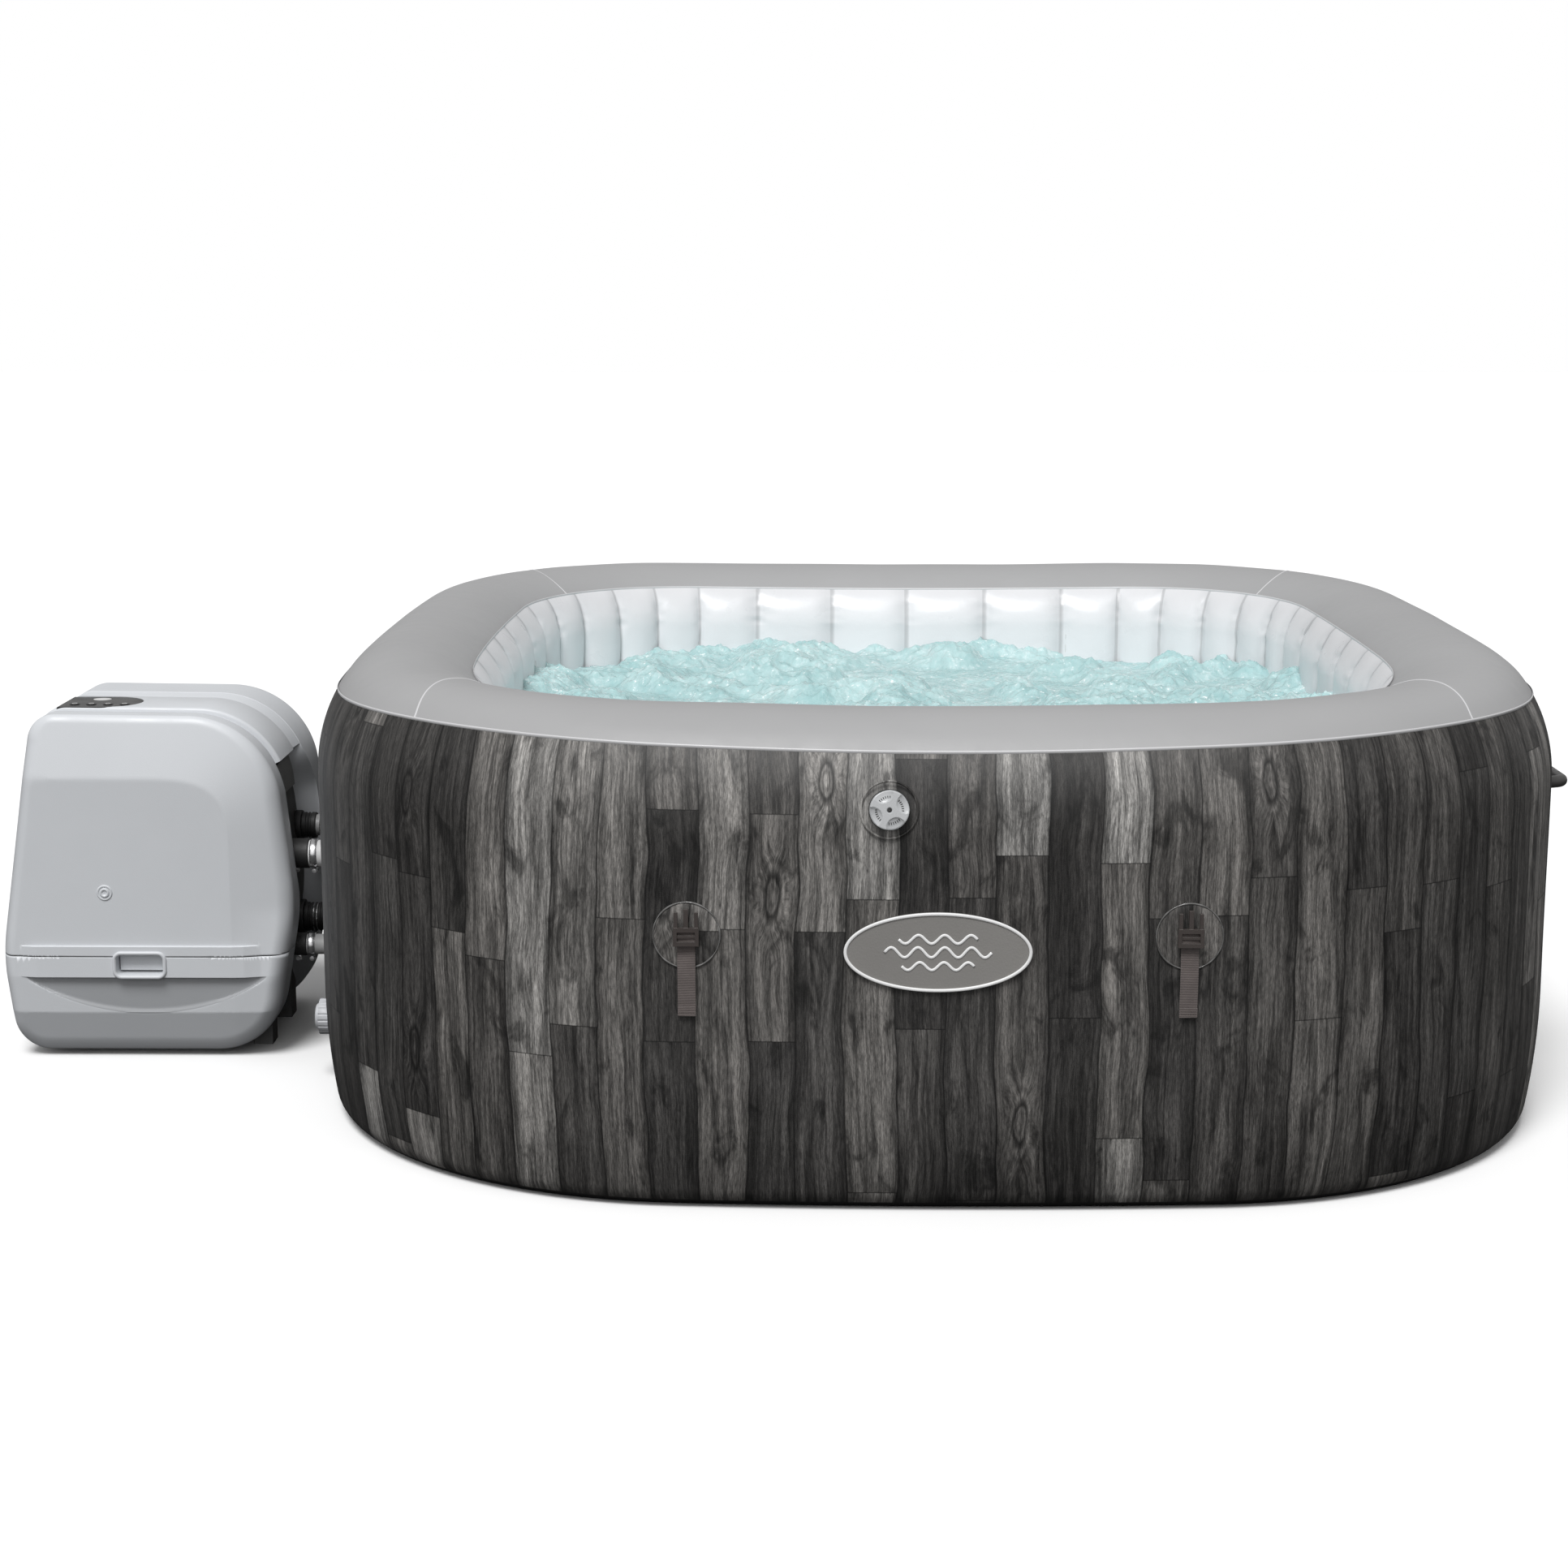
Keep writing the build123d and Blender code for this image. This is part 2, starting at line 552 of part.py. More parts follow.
# ---------------------------------------------------------------- pump unit
def pump_outline(inset):
    """The pump unit's outline, smaller by an inset, as a wire in local x and z."""
    corners = [Vector(*place) for place, _ in PUMP_CORNERS]
    count = len(corners)
    moved = []
    for index in range(count):
        before, here, after = corners[index - 1], corners[index], corners[(index + 1) % count]
        first = (here - before).normalized()
        second = (after - here).normalized()
        inward = [Vector(edge.Y, -edge.X) for edge in (first, second)]
        base = here + inward[0] * inset
        other = here + inward[1] * inset
        cross = first.X * second.Y - first.Y * second.X
        gap = other - base
        reach = (gap.X * second.Y - gap.Y * second.X) / cross
        moved.append(base + first * reach)
    radii = [max(radius - inset, 6.0) for _, radius in PUMP_CORNERS]
    return FilletPolyline(*[(p.X, p.Y) for p in moved], radius=radii, close=True)


def pump_section(inset, y):
    """The pump outline as a face across the unit at one place along Y."""
    return Plane(origin=(0, y, 0), x_dir=(1, 0, 0), z_dir=(0, -1, 0)) * make_face(pump_outline(inset))


def pump_body(stations, thinner):
    """A solid through several outlines: (Y, inset)."""
    return loft([pump_section(inset + thinner, y) for y, inset in stations], ruled=True)


FRONT_STATIONS = [(-22.0, 0.0), (-150.0, 0.0), (-180.0, 9.0), (PUMP_FRONT, 30.0)]
BACK_STATIONS = [(-21.0, 0.0), (150.0, 0.0), (182.0, 10.0), (PUMP_BACK, 30.0)]


def channel_cut():
    """The recessed channel between the two shells, with rounded left corners in plan."""
    right = -700.0
    levels = [(-50.0, CHANNEL_STEP_Z, CHANNEL_BACK_LOW), (CHANNEL_STEP_Z - 1, 700.0, CHANNEL_BACK)]
    cuts = []
    for low, high, back in levels:
        cut = block((CHANNEL_LEFT, CHANNEL_FRONT, low), (right, back, high))
        cuts.append(fillet(cut.edges().filter_by(Axis.Z).group_by(Axis.X)[0], 34))
    return fuse(cuts)


def hollow_shell(stations, reach):
    """A shell of even thickness, open where the two halves meet."""
    outer = pump_body(stations, 0.0)
    inner_stations = [(reach, stations[0][1])] + stations[1:-1] + [
        (stations[-1][0] - math.copysign(SHELL, stations[-1][0]), stations[-1][1])]
    return outer - pump_body(inner_stations, SHELL)


def make_pump_shells():
    """Front shell, removable lower cover with its catch, back shell and the spine between them."""
    front = hollow_shell(FRONT_STATIONS, 10.0) - channel_cut()
    back = hollow_shell(BACK_STATIONS, -50.0) - channel_cut()
    wide, tall = LATCH_SIZE
    left, right = LATCH_X - wide / 2, LATCH_X + wide / 2
    tab = block((left, -230, LATCH_Z - tall / 2), (right, -150, LATCH_Z + tall / 2))
    low_zone = block((-1500, -260, -20), (-900, COVER_BACK, SPLIT_Z))
    freed = block((-1500, -260, -20), (-900, COVER_BACK + 1.0, SPLIT_Z + 1.0))
    notch = block((left - 1, -230, SPLIT_Z - 2), (right + 1, -150, LATCH_Z + tall / 2 + 1))
    keep("pump_front_shell", front - freed - notch)

    depth = 24.0
    low, high = LATCH_Z - tall / 2, LATCH_Z + tall / 2
    cup = block((left, PUMP_FRONT - 2, low), (right, PUMP_FRONT + depth, high))
    pocket = block((left + 7, PUMP_FRONT - 10, low + 7), (right - 7, PUMP_FRONT + depth - 3, high - 7))
    keep("pump_lower_cover", (front & low_zone) + (front & tab) + cup - pocket)
    paddle = block((left + 9, PUMP_FRONT + 9, low + 11), (right - 9, PUMP_FRONT + 11.5, high - 8.5))
    keep("pump_latch", paddle)
    keep("pump_back_shell", back - rod((-1290, PUMP_BACK - 30, GLAND_Z), (0, 1, 0), 9.4, 60))

    ports = [rod((-1030, y, z), (1, 0, 0), radius + 8, 90) for y, z, radius in HOSES.values()]
    front_edge, back_edge = CHANNEL_FRONT + 0.6, CHANNEL_BACK_LOW - 0.6
    spine = loft([pump_section(CHANNEL_INSET, y) for y in (front_edge, back_edge)], ruled=True)
    core = loft([pump_section(CHANNEL_INSET + SHELL, y) for y in (front_edge - 5, back_edge + 5)], ruled=True)
    spine = (spine - core) & block((CHANNEL_LEFT + 0.6, -300, -50), (-900, 300, 700))
    for port in ports:
        spine = spine - port
    keep("pump_spine", spine)


def make_pump_top():
    """The lid over the channel, the control panel let into it and the panel's buttons."""
    outer = Plane(origin=(0, 40, 0), x_dir=(1, 0, 0), z_dir=(0, -1, 0)) * make_face(pump_outline(7))
    inner = Plane(origin=(0, 41, 0), x_dir=(1, 0, 0), z_dir=(0, -1, 0)) * make_face(pump_outline(26))
    strip = extrude(outer, 146) - extrude(inner, 150)
    lid = strip & block((-1358, -120, 452), (-900, 60, 700))
    top = PUMP_CORNERS[0][0][1] - 7.0
    panel_low, panel_high = -1342.0, -1222.0
    panel_front, panel_back = -98.0, 8.0
    wide = panel_back - panel_front
    mid = (panel_front + panel_back) / 2
    round_from = panel_high - wide / 2
    outline = make_face(Wire([
        Line((panel_low, panel_front), (round_from, panel_front)),
        ThreePointArc((round_from, panel_front), (panel_high, mid), (round_from, panel_back)),
        Line((round_from, panel_back), (panel_low, panel_back)),
        Line((panel_low, panel_back), (panel_low, panel_front)),
    ]))
    seat = top - 6.0
    recess = Pos(0, 0, seat) * extrude(offset(outline, 0.4), 20)
    wells = []
    names = ("power", "heat", "jets", "bubbles")
    places = [(-1322.0 + 26.0 * index, mid - 24.0) for index in range(len(names))]
    for place in places:
        wells.append(Pos(place[0], place[1], seat) * Cylinder(8.3, 40))
    lid = lid - recess
    panel = Pos(0, 0, seat + 0.3) * extrude(outline, 3.2)
    for well in wells:
        panel = panel - well
        lid = lid - well
    keep("pump_lid", lid)
    keep("control_panel", panel)
    for name, (x, y) in zip(names, places):
        keep(f"button_{name}", Pos(x, y, seat + 1.1) * Cylinder(8.0, 6.2))


def make_pump_inside():
    """Base tray, two water pumps, heater, air blower, control board and pipes."""
    floor = 41.3
    tray = block((-1350, -150, floor), (-1110, 140, floor + 4))
    for x in (-1335, -1125):
        for y in (-134, 134):
            tray = tray + rod((x, y, 14), (0, 0, 1), 8, floor - 13)
    keep("pump_chassis", tray)

    body = loft([pump_section(CHANNEL_INSET - 0.4, y) for y in (-300, 300)], ruled=True)
    feet = []
    for x in (-1348, -1040):
        for y in (-76, 86):
            feet.append(block((x - 15, y - 20, 0), (x + 15, y + 20, 110)) - body)
    keep("pump_feet", feet)

    for name, x, y, size, length in (("filter_pump", -1270, -70, 34, 78), ("jet_pump", -1270, 60, 44, 96)):
        z = floor + 4.3 + size + 6
        can = rod((x - length, y, z), (1, 0, 0), size, length)
        base = block((x - length, y - 20, floor + 4.3), (x, y + 20, z))
        motor = can + base
        house = rod((x + 0.5, y, z), (1, 0, 0), size + 4, 34) - rod((x + 3.5, y, z), (1, 0, 0), size, 28)
        motor = motor + house - rod((x - 20, y, z), (1, 0, 0), 4.05, 40)
        motor = motor - rod((x + 25, y, z), (1, 0, 0), 12, 20)
        keep(f"{name}_motor", motor)
        wheel = rod((x - 18, y, z), (1, 0, 0), 4.0, 42) + rod((x + 8, y, z), (1, 0, 0), 9, 14)
        for turn in range(6):
            blade = Pos(0, 0, size / 2 - 1) * Box(12, 2.4, size - 8)
            wheel = wheel + Pos(x + 15, y, z) * Rot(turn * 60, 0, 0) * blade
        keep(f"{name}_impeller", wheel)

    x, y = -1312, 90
    heater = rod((x, y, 230), (0, 0, 1), 26, 150)
    for z in (224, 374):
        heater = heater + rod((x, y, z), (0, 0, 1), 32, 8)
    keep("heater_tube", heater - rod((x, y, 226), (0, 0, 1), 23, 152))

    x, y, z = -1230, -60, 330
    back = (0, 1, 0)
    case = rod((x, y - 40, z), back, 62, 60) - rod((x, y - 37, z), back, 59, 54)
    case = case - rod((x, y - 50, z), back, 22, 15)
    case = case + rod((x, y + 20, z), back, 38, 44)
    case = case + rod((x, y, z - 58), (0, 0, -1), 12, 90)
    keep("air_blower", case - rod((x, y + 10, z), back, 4.05, 40))
    fan = rod((x, y - 20, z), back, 4.0, 68) + rod((x, y - 24, z), back, 20, 4)
    blade = Pos(32, 0, 0) * Box(44, 28, 2)
    for turn in range(10):
        fan = fan + Pos(x, y - 8, z) * Rot(0, turn * 36, 0) * blade
    keep("blower_fan", fan)

    keep("control_board", block((-1344, -90, 440), (-1200, 20, 444)))


def make_hoses():
    """Four short hoses between the pump's ports and the tub's couplings, and their clamps."""
    port_face = -1003.0
    ports = []
    clamps = []
    pipes = []
    for name, (y, z, radius) in HOSES.items():
        inner = radius - HOSE_WALL
        collar = tube((port_face - 6, y, z), (1, 0, 0), radius + 7, inner - 3, 12)
        spigot = tube((port_face - 40, y, z), (1, 0, 0), inner - 0.2, inner - 3, 62)
        ports.append(collar + spigot)
        start, end = port_face + 6.4, COUPLING_OUT - 0.4
        hose = tube((start, y, z), (1, 0, 0), radius, inner, end - start)
        keep(name, hose)
        for x in (start + 12, end - 20):
            band = tube((x, y, z), (1, 0, 0), radius + 1.4, radius + 0.05, 9)
            lug = block((x, y - 6, z - radius - 8), (x + 9, y + 6, z - radius - 0.6))
            lug = lug - rod((x - 1, y, z), (1, 0, 0), radius + 0.05, 12)
            screw = rod((x + 4.5, y - 12, z - radius - 4.5), (0, 1, 0), 3, 24)
            clamps.append(fuse([band, lug, screw]))
        inside = -1150.0
        pipes.append(tube((inside, y, z), (1, 0, 0), inner, inner - 3, port_face - 40.4 - inside))
    keep("hose_ports", ports)
    keep("hose_clamps", clamps)
    keep("internal_pipes", pipes)

    gland = rod((-1290, PUMP_BACK + 0.3, GLAND_Z), (0, 1, 0), 14, 3)
    gland = gland + rod((-1290, PUMP_BACK - 12, GLAND_Z), (0, 1, 0), 9, 24)
    keep("cord_gland", gland - rod((-1290, PUMP_BACK - 20, GLAND_Z), (0, 1, 0), 4.5, 40))


make_sheets()
make_webs()
make_jets()
make_couplings()
make_drain()
make_air_valve()
make_trim()
make_buckles()
make_pump_shells()
make_pump_top()
make_pump_inside()
make_hoses()
print(len(NODES), "nodes")
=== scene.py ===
import math

import bmesh
import bpy
import numpy as np
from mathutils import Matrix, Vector, noise


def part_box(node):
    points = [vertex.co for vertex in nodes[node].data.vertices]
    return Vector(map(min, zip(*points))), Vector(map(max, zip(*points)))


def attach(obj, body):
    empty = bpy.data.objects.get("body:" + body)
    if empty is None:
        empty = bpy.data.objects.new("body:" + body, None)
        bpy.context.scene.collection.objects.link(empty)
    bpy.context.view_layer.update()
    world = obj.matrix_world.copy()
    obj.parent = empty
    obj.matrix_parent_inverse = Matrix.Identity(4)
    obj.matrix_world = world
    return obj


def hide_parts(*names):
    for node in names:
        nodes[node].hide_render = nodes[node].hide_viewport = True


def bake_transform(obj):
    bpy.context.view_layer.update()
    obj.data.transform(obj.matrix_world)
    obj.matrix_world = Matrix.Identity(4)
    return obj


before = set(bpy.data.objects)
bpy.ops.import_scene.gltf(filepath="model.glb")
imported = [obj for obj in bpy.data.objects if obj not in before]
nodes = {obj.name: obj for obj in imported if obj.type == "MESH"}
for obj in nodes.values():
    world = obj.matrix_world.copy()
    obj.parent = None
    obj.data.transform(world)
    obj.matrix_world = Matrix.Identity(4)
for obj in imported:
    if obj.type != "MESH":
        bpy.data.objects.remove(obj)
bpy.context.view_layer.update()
TAU = 2 * math.pi

# ---------------------------------------------------------------- camera, light and stage
# The picture is 1932 x 1932, and the camera stands in front of the tub, a little left of its middle.
camera_data = bpy.data.cameras.new("camera")
camera_data.lens = 63.34
camera_data.sensor_width = 36.0
camera = bpy.data.objects.new("camera", camera_data)
camera.location = (-0.17, -4.307, 1.2)
camera.rotation_euler = (math.pi / 2 - 0.183, 0.0, 0.011)
bpy.context.scene.collection.objects.link(camera)
bpy.context.scene.camera = camera
bpy.context.scene.view_settings.view_transform = "Standard"


def add_sun(name, towards, watts, softness):
    """An even light from far off, shining along a direction."""
    data = bpy.data.lights.new(name, "SUN")
    data.energy = watts
    data.angle = math.radians(softness)
    lamp = bpy.data.objects.new(name, data)
    lamp.rotation_euler = Vector(towards).to_track_quat("-Z", "Y").to_euler()
    bpy.context.scene.collection.objects.link(lamp)


add_sun("key_light", (0.17, 0.62, -1.0), 2.55, 24)
add_sun("front_light", (0.10, 1.0, -0.45), 0.50, 50)


def shown_and_cast(tree, shown, cast):
    """A value that is one thing to the eye and another to the light it throws on its surroundings."""
    ray = tree.nodes.new("ShaderNodeLightPath")
    blend = tree.nodes.new("ShaderNodeMapRange")
    blend.inputs["To Min"].default_value = cast
    blend.inputs["To Max"].default_value = shown
    tree.links.new(ray.outputs["Is Camera Ray"], blend.inputs["Value"])
    return blend.outputs["Result"]


world = bpy.data.worlds.new("studio")
world.use_nodes = True
bpy.context.scene.world = world
background = world.node_tree.nodes["Background"]
background.inputs["Color"].default_value = (1.0, 1.0, 1.0, 1.0)
world.node_tree.links.new(shown_and_cast(world.node_tree, 1.0, 0.42), background.inputs["Strength"])


# ---------------------------------------------------------------- materials
class Paint:
    """A node material, built with short calls. Values can be sockets, numbers or colours."""

    def __init__(self, name, **fixed):
        self.material = bpy.data.materials.new(name)
        self.material.use_nodes = True
        self.tree = self.material.node_tree
        self.shader = self.tree.nodes["Principled BSDF"]
        for key, value in fixed.items():
            self.shader.inputs[key.replace("_", " ")].default_value = value

    def feed(self, socket, value):
        if isinstance(value, bpy.types.NodeSocket):
            self.tree.links.new(value, socket)
        elif hasattr(socket.default_value, "__len__") and len(socket.default_value) == 4:
            socket.default_value = (*value[:3], 1.0)
        else:
            socket.default_value = value

    def node(self, kind, settings=None, **inputs):
        made = self.tree.nodes.new(kind)
        for key, value in (settings or {}).items():
            setattr(made, key, value)
        for key, value in inputs.items():
            self.feed(made.inputs[key], value)
        return made

    def math(self, operation, first, second=None, third=None):
        made = self.node("ShaderNodeMath", {"operation": operation})
        for index, value in enumerate((first, second, third)):
            if value is not None:
                self.feed(made.inputs[index], value)
        return made.outputs[0]

    def times(self, first, second):
        return self.math("MULTIPLY", first, second)

    def plus(self, first, second):
        return self.math("ADD", first, second)

    def minus(self, first, second):
        return self.math("SUBTRACT", first, second)

    def shaded(self, colour, share):
        """A colour times a grey of the same share in all three channels."""
        even = self.node("ShaderNodeCombineColor", Red=share, Green=share, Blue=share).outputs[0]
        return self.mix(1.0, colour, even, "MULTIPLY")

    def step(self, value, low, high, start=0.0, end=1.0):
        """A smooth step from start to end while value goes from low to high."""
        made = self.node("ShaderNodeMapRange", {"interpolation_type": "SMOOTHSTEP"})
        for key, item in (("Value", value), ("From Min", low), ("From Max", high), ("To Min", start),
                          ("To Max", end)):
            self.feed(made.inputs[key], item)
        return made.outputs[0]

    def mix(self, share, first, second, blend="MIX"):
        made = self.node("ShaderNodeMix", {"data_type": "RGBA", "blend_type": blend})
        self.feed(made.inputs[0], share)
        self.feed(made.inputs[6], first)
        self.feed(made.inputs[7], second)
        return made.outputs[2]

    def vector(self, x, y, z=0.0):
        return self.node("ShaderNodeCombineXYZ", X=x, Y=y, Z=z).outputs[0]

    def place(self, layer=None):
        """The object's own coordinates, or the metres along a sheet kept in its UV map."""
        if layer:
            return self.node("ShaderNodeUVMap", {"uv_map": layer}).outputs[0]
        return self.node("ShaderNodeTexCoord").outputs["Object"]

    def split(self, vector):
        made = self.node("ShaderNodeSeparateXYZ", Vector=vector)
        return made.outputs[0], made.outputs[1], made.outputs[2]

    def noise(self, vector, scale, detail=4.0, rough=0.55, distortion=0.0):
        made = self.node("ShaderNodeTexNoise", Vector=vector, Scale=scale, Detail=detail, Roughness=rough,
                         Distortion=distortion)
        return made.outputs["Fac"]

    def ramp(self, value, stops):
        made = self.node("ShaderNodeValToRGB", Fac=value)
        while len(made.color_ramp.elements) < len(stops):
            made.color_ramp.elements.new(0.5)
        for element, (position, colour) in zip(made.color_ramp.elements, stops):
            element.position = position
            element.color = (*colour, 1.0)
        return made.outputs["Color"]

    def bump(self, height, depth, strength=1.0):
        made = self.node("ShaderNodeBump", Height=height, Distance=depth, Strength=strength)
        self.tree.links.new(made.outputs["Normal"], self.shader.inputs["Normal"])

    def colour(self, value):
        self.feed(self.shader.inputs["Base Color"], value)

    def rough(self, value):
        self.feed(self.shader.inputs["Roughness"], value)


def grey(level, warm=0.0):
    """A near-neutral colour."""
    return (level * (1 + warm), level, level * (1 - warm))


def moulded_paint(name, tone, rough=0.42, grain=260.0, depth=0.0002, mottled=0.06, sheen_scale=3.0,
                  specular=0.5):
    """Moulded plastic or rubber: fine grain, faint mottling and slightly uneven gloss.
    Returns the paint and its colour, for a material that adds to it."""
    paint = Paint(name)
    paint.shader.inputs["Specular IOR Level"].default_value = specular
    where = paint.place()
    cloud = paint.noise(where, sheen_scale, 3.0)
    light = tuple(min(1.0, c * (1 + mottled)) for c in tone)
    dark = tuple(c * (1 - mottled) for c in tone)
    plain = paint.ramp(cloud, [(0.3, dark), (0.7, light)])
    paint.colour(plain)
    paint.rough(paint.step(paint.noise(where, sheen_scale * 6, 4.0), 0.3, 0.7, rough - 0.05, rough + 0.07))
    paint.bump(paint.noise(where, grain, 2.0), depth)
    return paint, plain


def moulded(*values, **more):
    return moulded_paint(*values, **more)[0].material


PLANKS = 96             # printed planks round the wall


def wood_print(perimeter):
    """Weathered dark planks printed on vinyl: wavy edges, butt joints, grain, blotches and knots."""
    paint = Paint("wood_print", Roughness=0.5)
    paint.shader.inputs["Specular IOR Level"].default_value = 0.35
    plank = perimeter / PLANKS
    u, v, _ = paint.split(paint.place("sheet"))
    wave = paint.noise(paint.vector(paint.times(u, 9.0), paint.times(v, 4.2)), 1.0, 2.0)
    sway = paint.math("MULTIPLY_ADD", wave, 0.030, -0.015)
    shifted = paint.math("DIVIDE", paint.plus(u, sway), plank)
    column = paint.math("FLOOR", shifted)
    across = paint.math("FRACT", shifted)
    column_dice = paint.node("ShaderNodeTexWhiteNoise", {"noise_dimensions": "1D"}, W=column)
    first, second, _ = paint.split(column_dice.outputs["Color"])
    board = paint.math("MULTIPLY_ADD", first, 0.26, 0.30)
    lifted = paint.math("DIVIDE", paint.plus(v, second), board)
    row = paint.math("FLOOR", lifted)
    along = paint.math("FRACT", lifted)
    dice = paint.node("ShaderNodeTexWhiteNoise", {"noise_dimensions": "2D"}, Vector=paint.vector(column, row))
    one, two, three = paint.split(dice.outputs["Color"])
    luck = dice.outputs["Value"]

    # knots: an elongated eye with rings round it, in some of the boards
    bend = paint.noise(paint.vector(paint.times(u, 60.0), paint.times(v, 25.0), luck), 1.0, 2.0)
    bent = paint.math("MULTIPLY_ADD", bend, 0.9, -0.45)
    eye_across = paint.math("MULTIPLY_ADD", one, 0.3, 0.35)
    eye_along = paint.math("MULTIPLY_ADD", two, 0.5, 0.25)
    dx = paint.times(paint.minus(across, eye_across), plank / 0.0085)
    dy = paint.times(paint.minus(along, eye_along), paint.math("DIVIDE", board, 0.026))
    reach = paint.math("SQRT", paint.plus(paint.times(dx, dx), paint.times(dy, dy)))
    far = paint.plus(reach, bent)
    has_knot = paint.math("GREATER_THAN", three, 0.80)
    near = paint.times(has_knot, paint.step(far, 1.0, 3.4, 1.0, 0.0))
    rings = paint.math("SINE", paint.times(far, 9.0))
    pull = paint.times(near, paint.times(paint.math("SIGN", dx), 0.010))

    # grain: long streaks at three widths, and soft blotches
    bowed = paint.plus(u, paint.plus(pull, paint.times(sway, 0.9)))
    seed = paint.times(luck, 40.0)
    streak = paint.noise(paint.vector(paint.times(bowed, 230.0), paint.times(v, 9.0), seed),
                         1.0, 5.0, 0.7, 0.5)
    fine = paint.noise(paint.vector(paint.times(bowed, 820.0), paint.times(v, 90.0), seed),
                       1.0, 3.0, 0.75)
    broad = paint.noise(paint.vector(paint.times(bowed, 46.0), paint.times(v, 3.4), seed),
                        1.0, 3.0, 0.6, 0.6)
    blotch = paint.noise(paint.vector(paint.times(u, 26.0), paint.times(v, 11.0), seed),
                         1.0, 4.0, 0.6, 0.8)
    tone = paint.ramp(luck, [(0.0, grey(0.026, -0.01)), (0.30, grey(0.040, 0.01)), (0.52, grey(0.072, 0.04)),
                             (0.76, grey(0.122, 0.055)), (1.0, grey(0.185, 0.06))])
    tint = paint.mix(one, (1.0, 0.94, 0.89), (0.95, 0.98, 1.0))
    tone = paint.mix(1.0, tone, tint, "MULTIPLY")
    shade = paint.times(paint.step(streak, 0.30, 0.70, 0.42, 1.75), paint.step(broad, 0.28, 0.72, 0.50, 1.60))
    shade = paint.times(shade, paint.step(fine, 0.25, 0.75, 0.45, 1.60))
    shade = paint.times(shade, paint.step(blotch, 0.32, 0.47, 0.36, 1.05))
    shade = paint.times(shade, paint.math("MULTIPLY_ADD", paint.times(near, rings), 0.30, 1.0))
    outline = paint.math("ABSOLUTE", paint.minus(far, 1.0))
    dark_eye = paint.times(has_knot, paint.step(outline, 0.0, 0.35, 0.8, 0.0))
    shade = paint.times(shade, paint.minus(1.0, dark_eye))

    # plank edges: a thin dark line with a soft shadow beside it
    edge = paint.times(paint.math("MINIMUM", across, paint.minus(1.0, across)), plank)
    joint = paint.times(paint.math("MINIMUM", along, paint.minus(1.0, along)), board)
    soft = paint.step(edge, 0.0, 0.013, 0.58, 1.0)
    thin = paint.times(paint.step(edge, 0.0004, 0.0016, 0.30, 1.0),
                      paint.step(joint, 0.0003, 0.0012, 0.35, 1.0))
    shade = paint.times(shade, paint.times(soft, thin))
    wood = paint.shaded(tone, shade)
    # painted shade: the print is darkened towards the foot of the wall, where it curves under towards the
    # floor
    low = paint.step(v, 0.08, 0.20, 0.72, 1.0)
    wood = paint.shaded(wood, low)
    band = paint.step(v, 0.078, 0.081)
    paint.colour(paint.mix(band, grey(0.006), wood))
    paint.rough(paint.step(streak, 0.3, 0.7, 0.46, 0.60))
    paint.bump(paint.noise(paint.place(), 700.0, 2.0), 0.0003, 0.5)
    return paint.material


def vinyl(name, tone, rough, sheen, creases=0.0006, pleated=False):
    """Plain inflated vinyl: faint creases, leathery grain and a soft sheen.
    The pleated kind has painted shade along the welds and on one side of each bay, from a UV map that holds
    the share of each bay, and painted shade towards the top."""
    paint = Paint(name)
    paint.shader.inputs["Specular IOR Level"].default_value = sheen
    where = paint.place()
    cloud = paint.noise(where, 2.5, 4.0)
    colour = paint.ramp(cloud, [(0.3, tuple(c * 0.965 for c in tone)),
                                (0.7, tuple(min(1, c * 1.03) for c in tone))])
    if pleated:
        bay, _, _ = paint.split(paint.place("sheet"))
        # painted shade: darker along each weld and on one side of each bay, where the pleats shade the sheet
        line = paint.math("MINIMUM", bay, paint.minus(1.0, bay))
        weld = paint.times(paint.step(line, 0.0, 0.045, 0.70, 1.0), paint.step(bay, 0.0, 0.30, 0.90, 1.0))
        # painted shade: darker towards the top of the liner, to hold back the light that falls there
        _, _, z = paint.split(where)
        weld = paint.times(weld, paint.step(z, 0.555, 0.635, 1.0, 0.83))
        colour = paint.shaded(colour, weld)
    paint.colour(colour)
    paint.rough(paint.step(paint.noise(where, 14.0, 3.0), 0.3, 0.7, rough - 0.05, rough + 0.08))
    crease = paint.noise(where, 22.0, 5.0, 0.6, 0.5)
    grain = paint.noise(where, 600.0, 2.0)
    height = paint.plus(paint.times(crease, 1.0), paint.times(grain, 0.12))
    paint.bump(height, creases, 0.8)
    return paint.material


def water_paint():
    """Foaming turquoise water: white where it is whipped up, with painted glints of highlight, glossy all
    over.
    """
    paint = Paint("bubbling_water", Roughness=0.12)
    paint.shader.inputs["Specular IOR Level"].default_value = 0.6
    paint.shader.inputs["Subsurface Weight"].default_value = 0.25
    paint.shader.inputs["Subsurface Radius"].default_value = (0.02, 0.05, 0.05)
    paint.shader.inputs["Subsurface Scale"].default_value = 0.5
    where = paint.place()
    big = paint.noise(where, 9.0, 6.0, 0.65, 0.8)
    froth = paint.noise(where, 48.0, 6.0, 0.72, 1.0)
    sparkle = paint.noise(where, 170.0, 3.0, 0.7)
    foam = paint.times(paint.step(froth, 0.46, 0.72), paint.step(big, 0.38, 0.62, 0.25, 1.0))
    # painted highlight: small near-white glints in the froth
    painted_glint = paint.times(paint.step(sparkle, 0.60, 0.66), paint.step(froth, 0.46, 0.60))
    deep = paint.mix(paint.step(big, 0.3, 0.7), (0.345, 0.545, 0.555), (0.475, 0.660, 0.665))
    foamy = paint.mix(foam, deep, (0.66, 0.80, 0.81))
    paint.colour(paint.mix(painted_glint, foamy, (0.97, 0.99, 0.99)))
    paint.bump(paint.noise(where, 120.0, 5.0, 0.7), 0.004, 0.9)
    return paint.material


